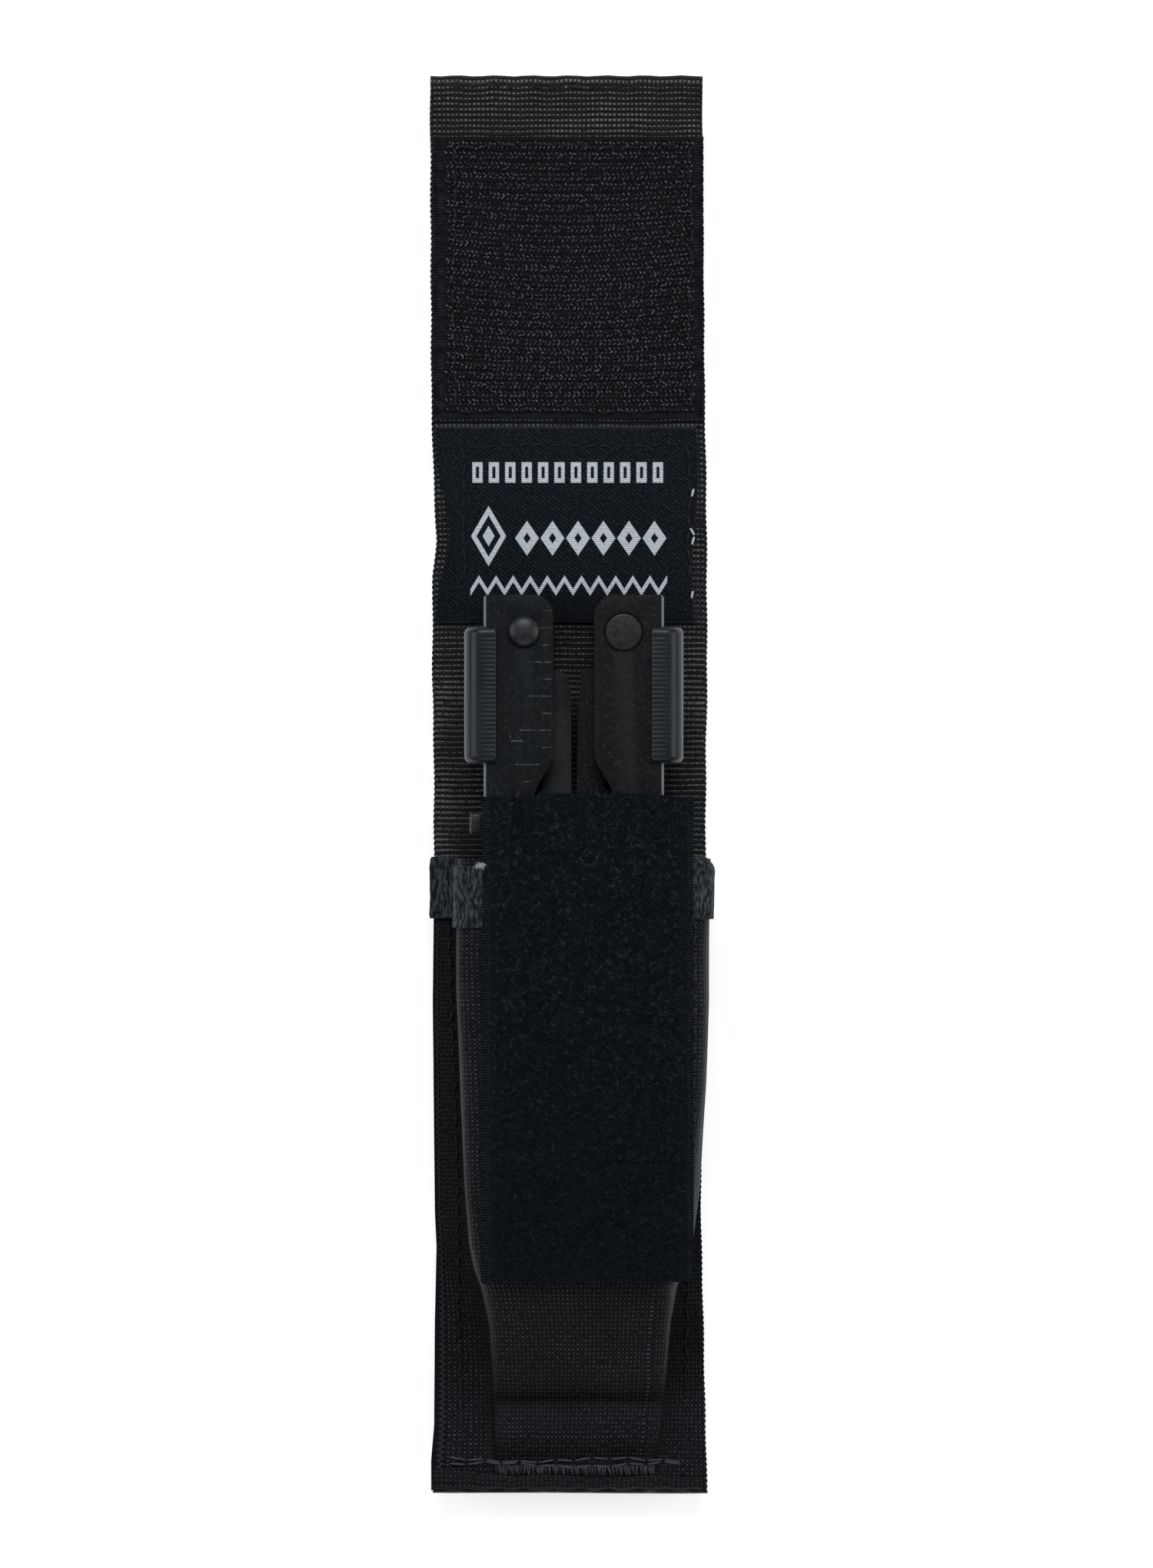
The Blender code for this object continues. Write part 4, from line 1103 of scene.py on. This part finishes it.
# ---- Release grips: ribbed black mouldings over the handles' outer edges. Fine ribs run across
# the inner half of each face, and the rounded outer half is smooth and shiny with handling.
grip_shine = Finish("grip_moulding", (0.024, 0.027, 0.031), 0.3, shine=0.36)
grip_cloud = grip_shine.noise(0.004, 3.0, (1, 0.3, 1))
grip_shine.colour(grip_cloud, (0.006, 0.0078, 0.0105), (0.017, 0.02, 0.0245))
grip_shine.rough(0.28 + grip_cloud * 0.16)
grip_shine.relief(grip_shine.noise(0.0008), 0.00003)
rib_count = 27
grip_corner = 0.003


def grip_piece(word, side):
    """The moulding's outer skin, swept down the edge, with ribs only on its inner half."""
    low, high = corners(word + "_release_grip")
    middle = (low + high) / 2
    deep = (high[2] - low[2]) / 2
    outer = tool_middle + side * (outer_reach + 0.0036)
    lap = tool_middle + side * (outer_reach - 0.0023)
    web = tool_middle + side * (outer_reach + 0.0016)
    wide = abs(outer - lap)
    length = high[1] - low[1]

    def form(u, v):
        """Out over the front, round a corner and halfway down the side, and so at the back."""
        half = np.minimum(u, 1 - u)
        bent = clamp((half - 0.2) / 0.16) * math.pi / 2
        x_away = clamp(half / 0.2) * (wide - grip_corner) + grip_corner * np.sin(bent)
        z_up = grip_corner * np.cos(bent) + (deep - grip_corner) * (1 - clamp((half - 0.36) / 0.14))
        end = np.minimum(v, 1 - v) * length
        fall = clamp(1 - end / 0.0013)
        shrink = 0.001 * (1 - np.sqrt(clamp(1 - fall**2)))
        ribs = 0.5 + 0.5 * np.cos((v - 0.5) * length / (length - 0.003) * rib_count * math.tau)
        face = clamp(1 - x_away / (wide * 0.52)) ** 0.35
        depth = 0.00006 * ribs * (end > 0.0014) * face + shrink
        z_up = (z_up - np.minimum(depth, z_up)) * np.where(u < 0.5, 1, -1)
        x_away = x_away - shrink * (x_away / wide)
        return lap + side * x_away, low[1] + v * length, middle[2] + z_up

    skin = sheet_of(word + "_grip", 40, 230, form, 0.0011, offset=-side)
    bpy.ops.object.mode_set(mode="EDIT")
    bpy.ops.mesh.select_all(action="SELECT")
    bpy.ops.mesh.normals_make_consistent(inside=False)
    bpy.ops.object.mode_set(mode="OBJECT")
    filling = []
    for x, size in (
        ((outer + web) / 2, (abs(outer - web) - 0.0007, length - 0.0016, 2 * deep - 0.0028)),
        (tool_middle + side * (outer_reach - 0.0006), (0.0044, 0.0142, 0.005)),
    ):
        filling.append(block((x, middle[1], middle[2]), size))
        use(filling[-1], "BEVEL", width=0.0003, segments=2)
    join([skin, *filling])
    finish_with(skin, grip_shine, word + "_grip", "grip_polymer", word + "_release_grip")


grip_piece("left", -1)
grip_piece("right", 1)


# ---- Grip springs and lock sliders: a bright spring ring behind each grip, flat against the
# handle's edge so that the grip can press in. Below it is a blacked thumb stud on a stem.
bright = Finish("bright_steel", (0.42, 0.42, 0.43), 0.32, 1.0, 0.5)
bright_grain = bright.noise(0.0008, 4.0, (1, 6, 1))
bright.rough(0.22 + bright_grain * 0.25)
bright.relief(bright_grain, 0.00002)
pressed_flat = 0.2
for word, side in (("left", -1), ("right", 1)):
    ring = from_node(
        word + "_spring_ring", word + "_grip_spring", 0.00005, "tool", bright, "spring_steel"
    )
    places = places_of(ring)
    out = side * (places[:, 0] - tool_middle)
    places[:, 0] = tool_middle + side * (out.min() + (out - out.min()) * pressed_flat)
    move_to(ring, places)
    from_node(
        word + "_lock_stud", word + "_lock_slider", 0.0009, word + "_slider", black_steel,
        "dark_steel", 4,
    )


# ---- Plier head: two forged jaws lapped at a pivot, whose crossed arms are pinned to carriers
# that slide in the handles' channels. Stowed, the nose shows between the handles.
# The right jaw's oxide is a darker copy of the left's: painted shade. The left jaw's grey stains are
# its own.
for word, dark, stain, stain_at in (
    ("left", (0.0085, 0.0095, 0.0115), (0.024, 0.0235, 0.0245), 0.34),
    ("right", (0.004, 0.0052, 0.0066), (0.006, 0.0062, 0.0068), 0.5),
):
    steel = oxide(word + "_jaw_oxide", dark, stain, stain_at)
    from_node(word + "_plier_jaw", word + "_jaw", 0.00035, "head", steel, "dark_steel", 3)
    from_node(word + "_slide_block", word + "_carrier", 0.0002, "head", black_steel, "dark_steel")
    from_node(word + "_pin", word + "_arm_pin", 0.0001, "head", black_steel, "dark_steel")
from_node("plier_rivet", "plier_pivot", 0.00015, "head", black_steel, "dark_steel")


# ---- Implements: blades, drivers, file and opener of stainless steel, ground and brushed along
# their length, folded into the handles and hidden while the tool is stowed.
brushed_steel = Finish("ground_steel", (0.36, 0.37, 0.38), 0.34, 1.0, 0.5)
brushing = brushed_steel.noise(0.0004, 3.0, (4, 0.15, 4))
brushed_steel.colour(brushing, (0.26, 0.27, 0.28), (0.46, 0.47, 0.48))
brushed_steel.rough(0.22 + brushing * 0.28)
brushed_steel.relief(brushing, 0.00002)
for node in frame["nodes"]:
    slots = [part["material_slot"] for part in frame["record"]["subparts"] if part["node"] == node]
    if slots == ["blade_steel"]:
        from_node(node + "_ground", node, 0.0002, "tool", brushed_steel, "blade_steel")
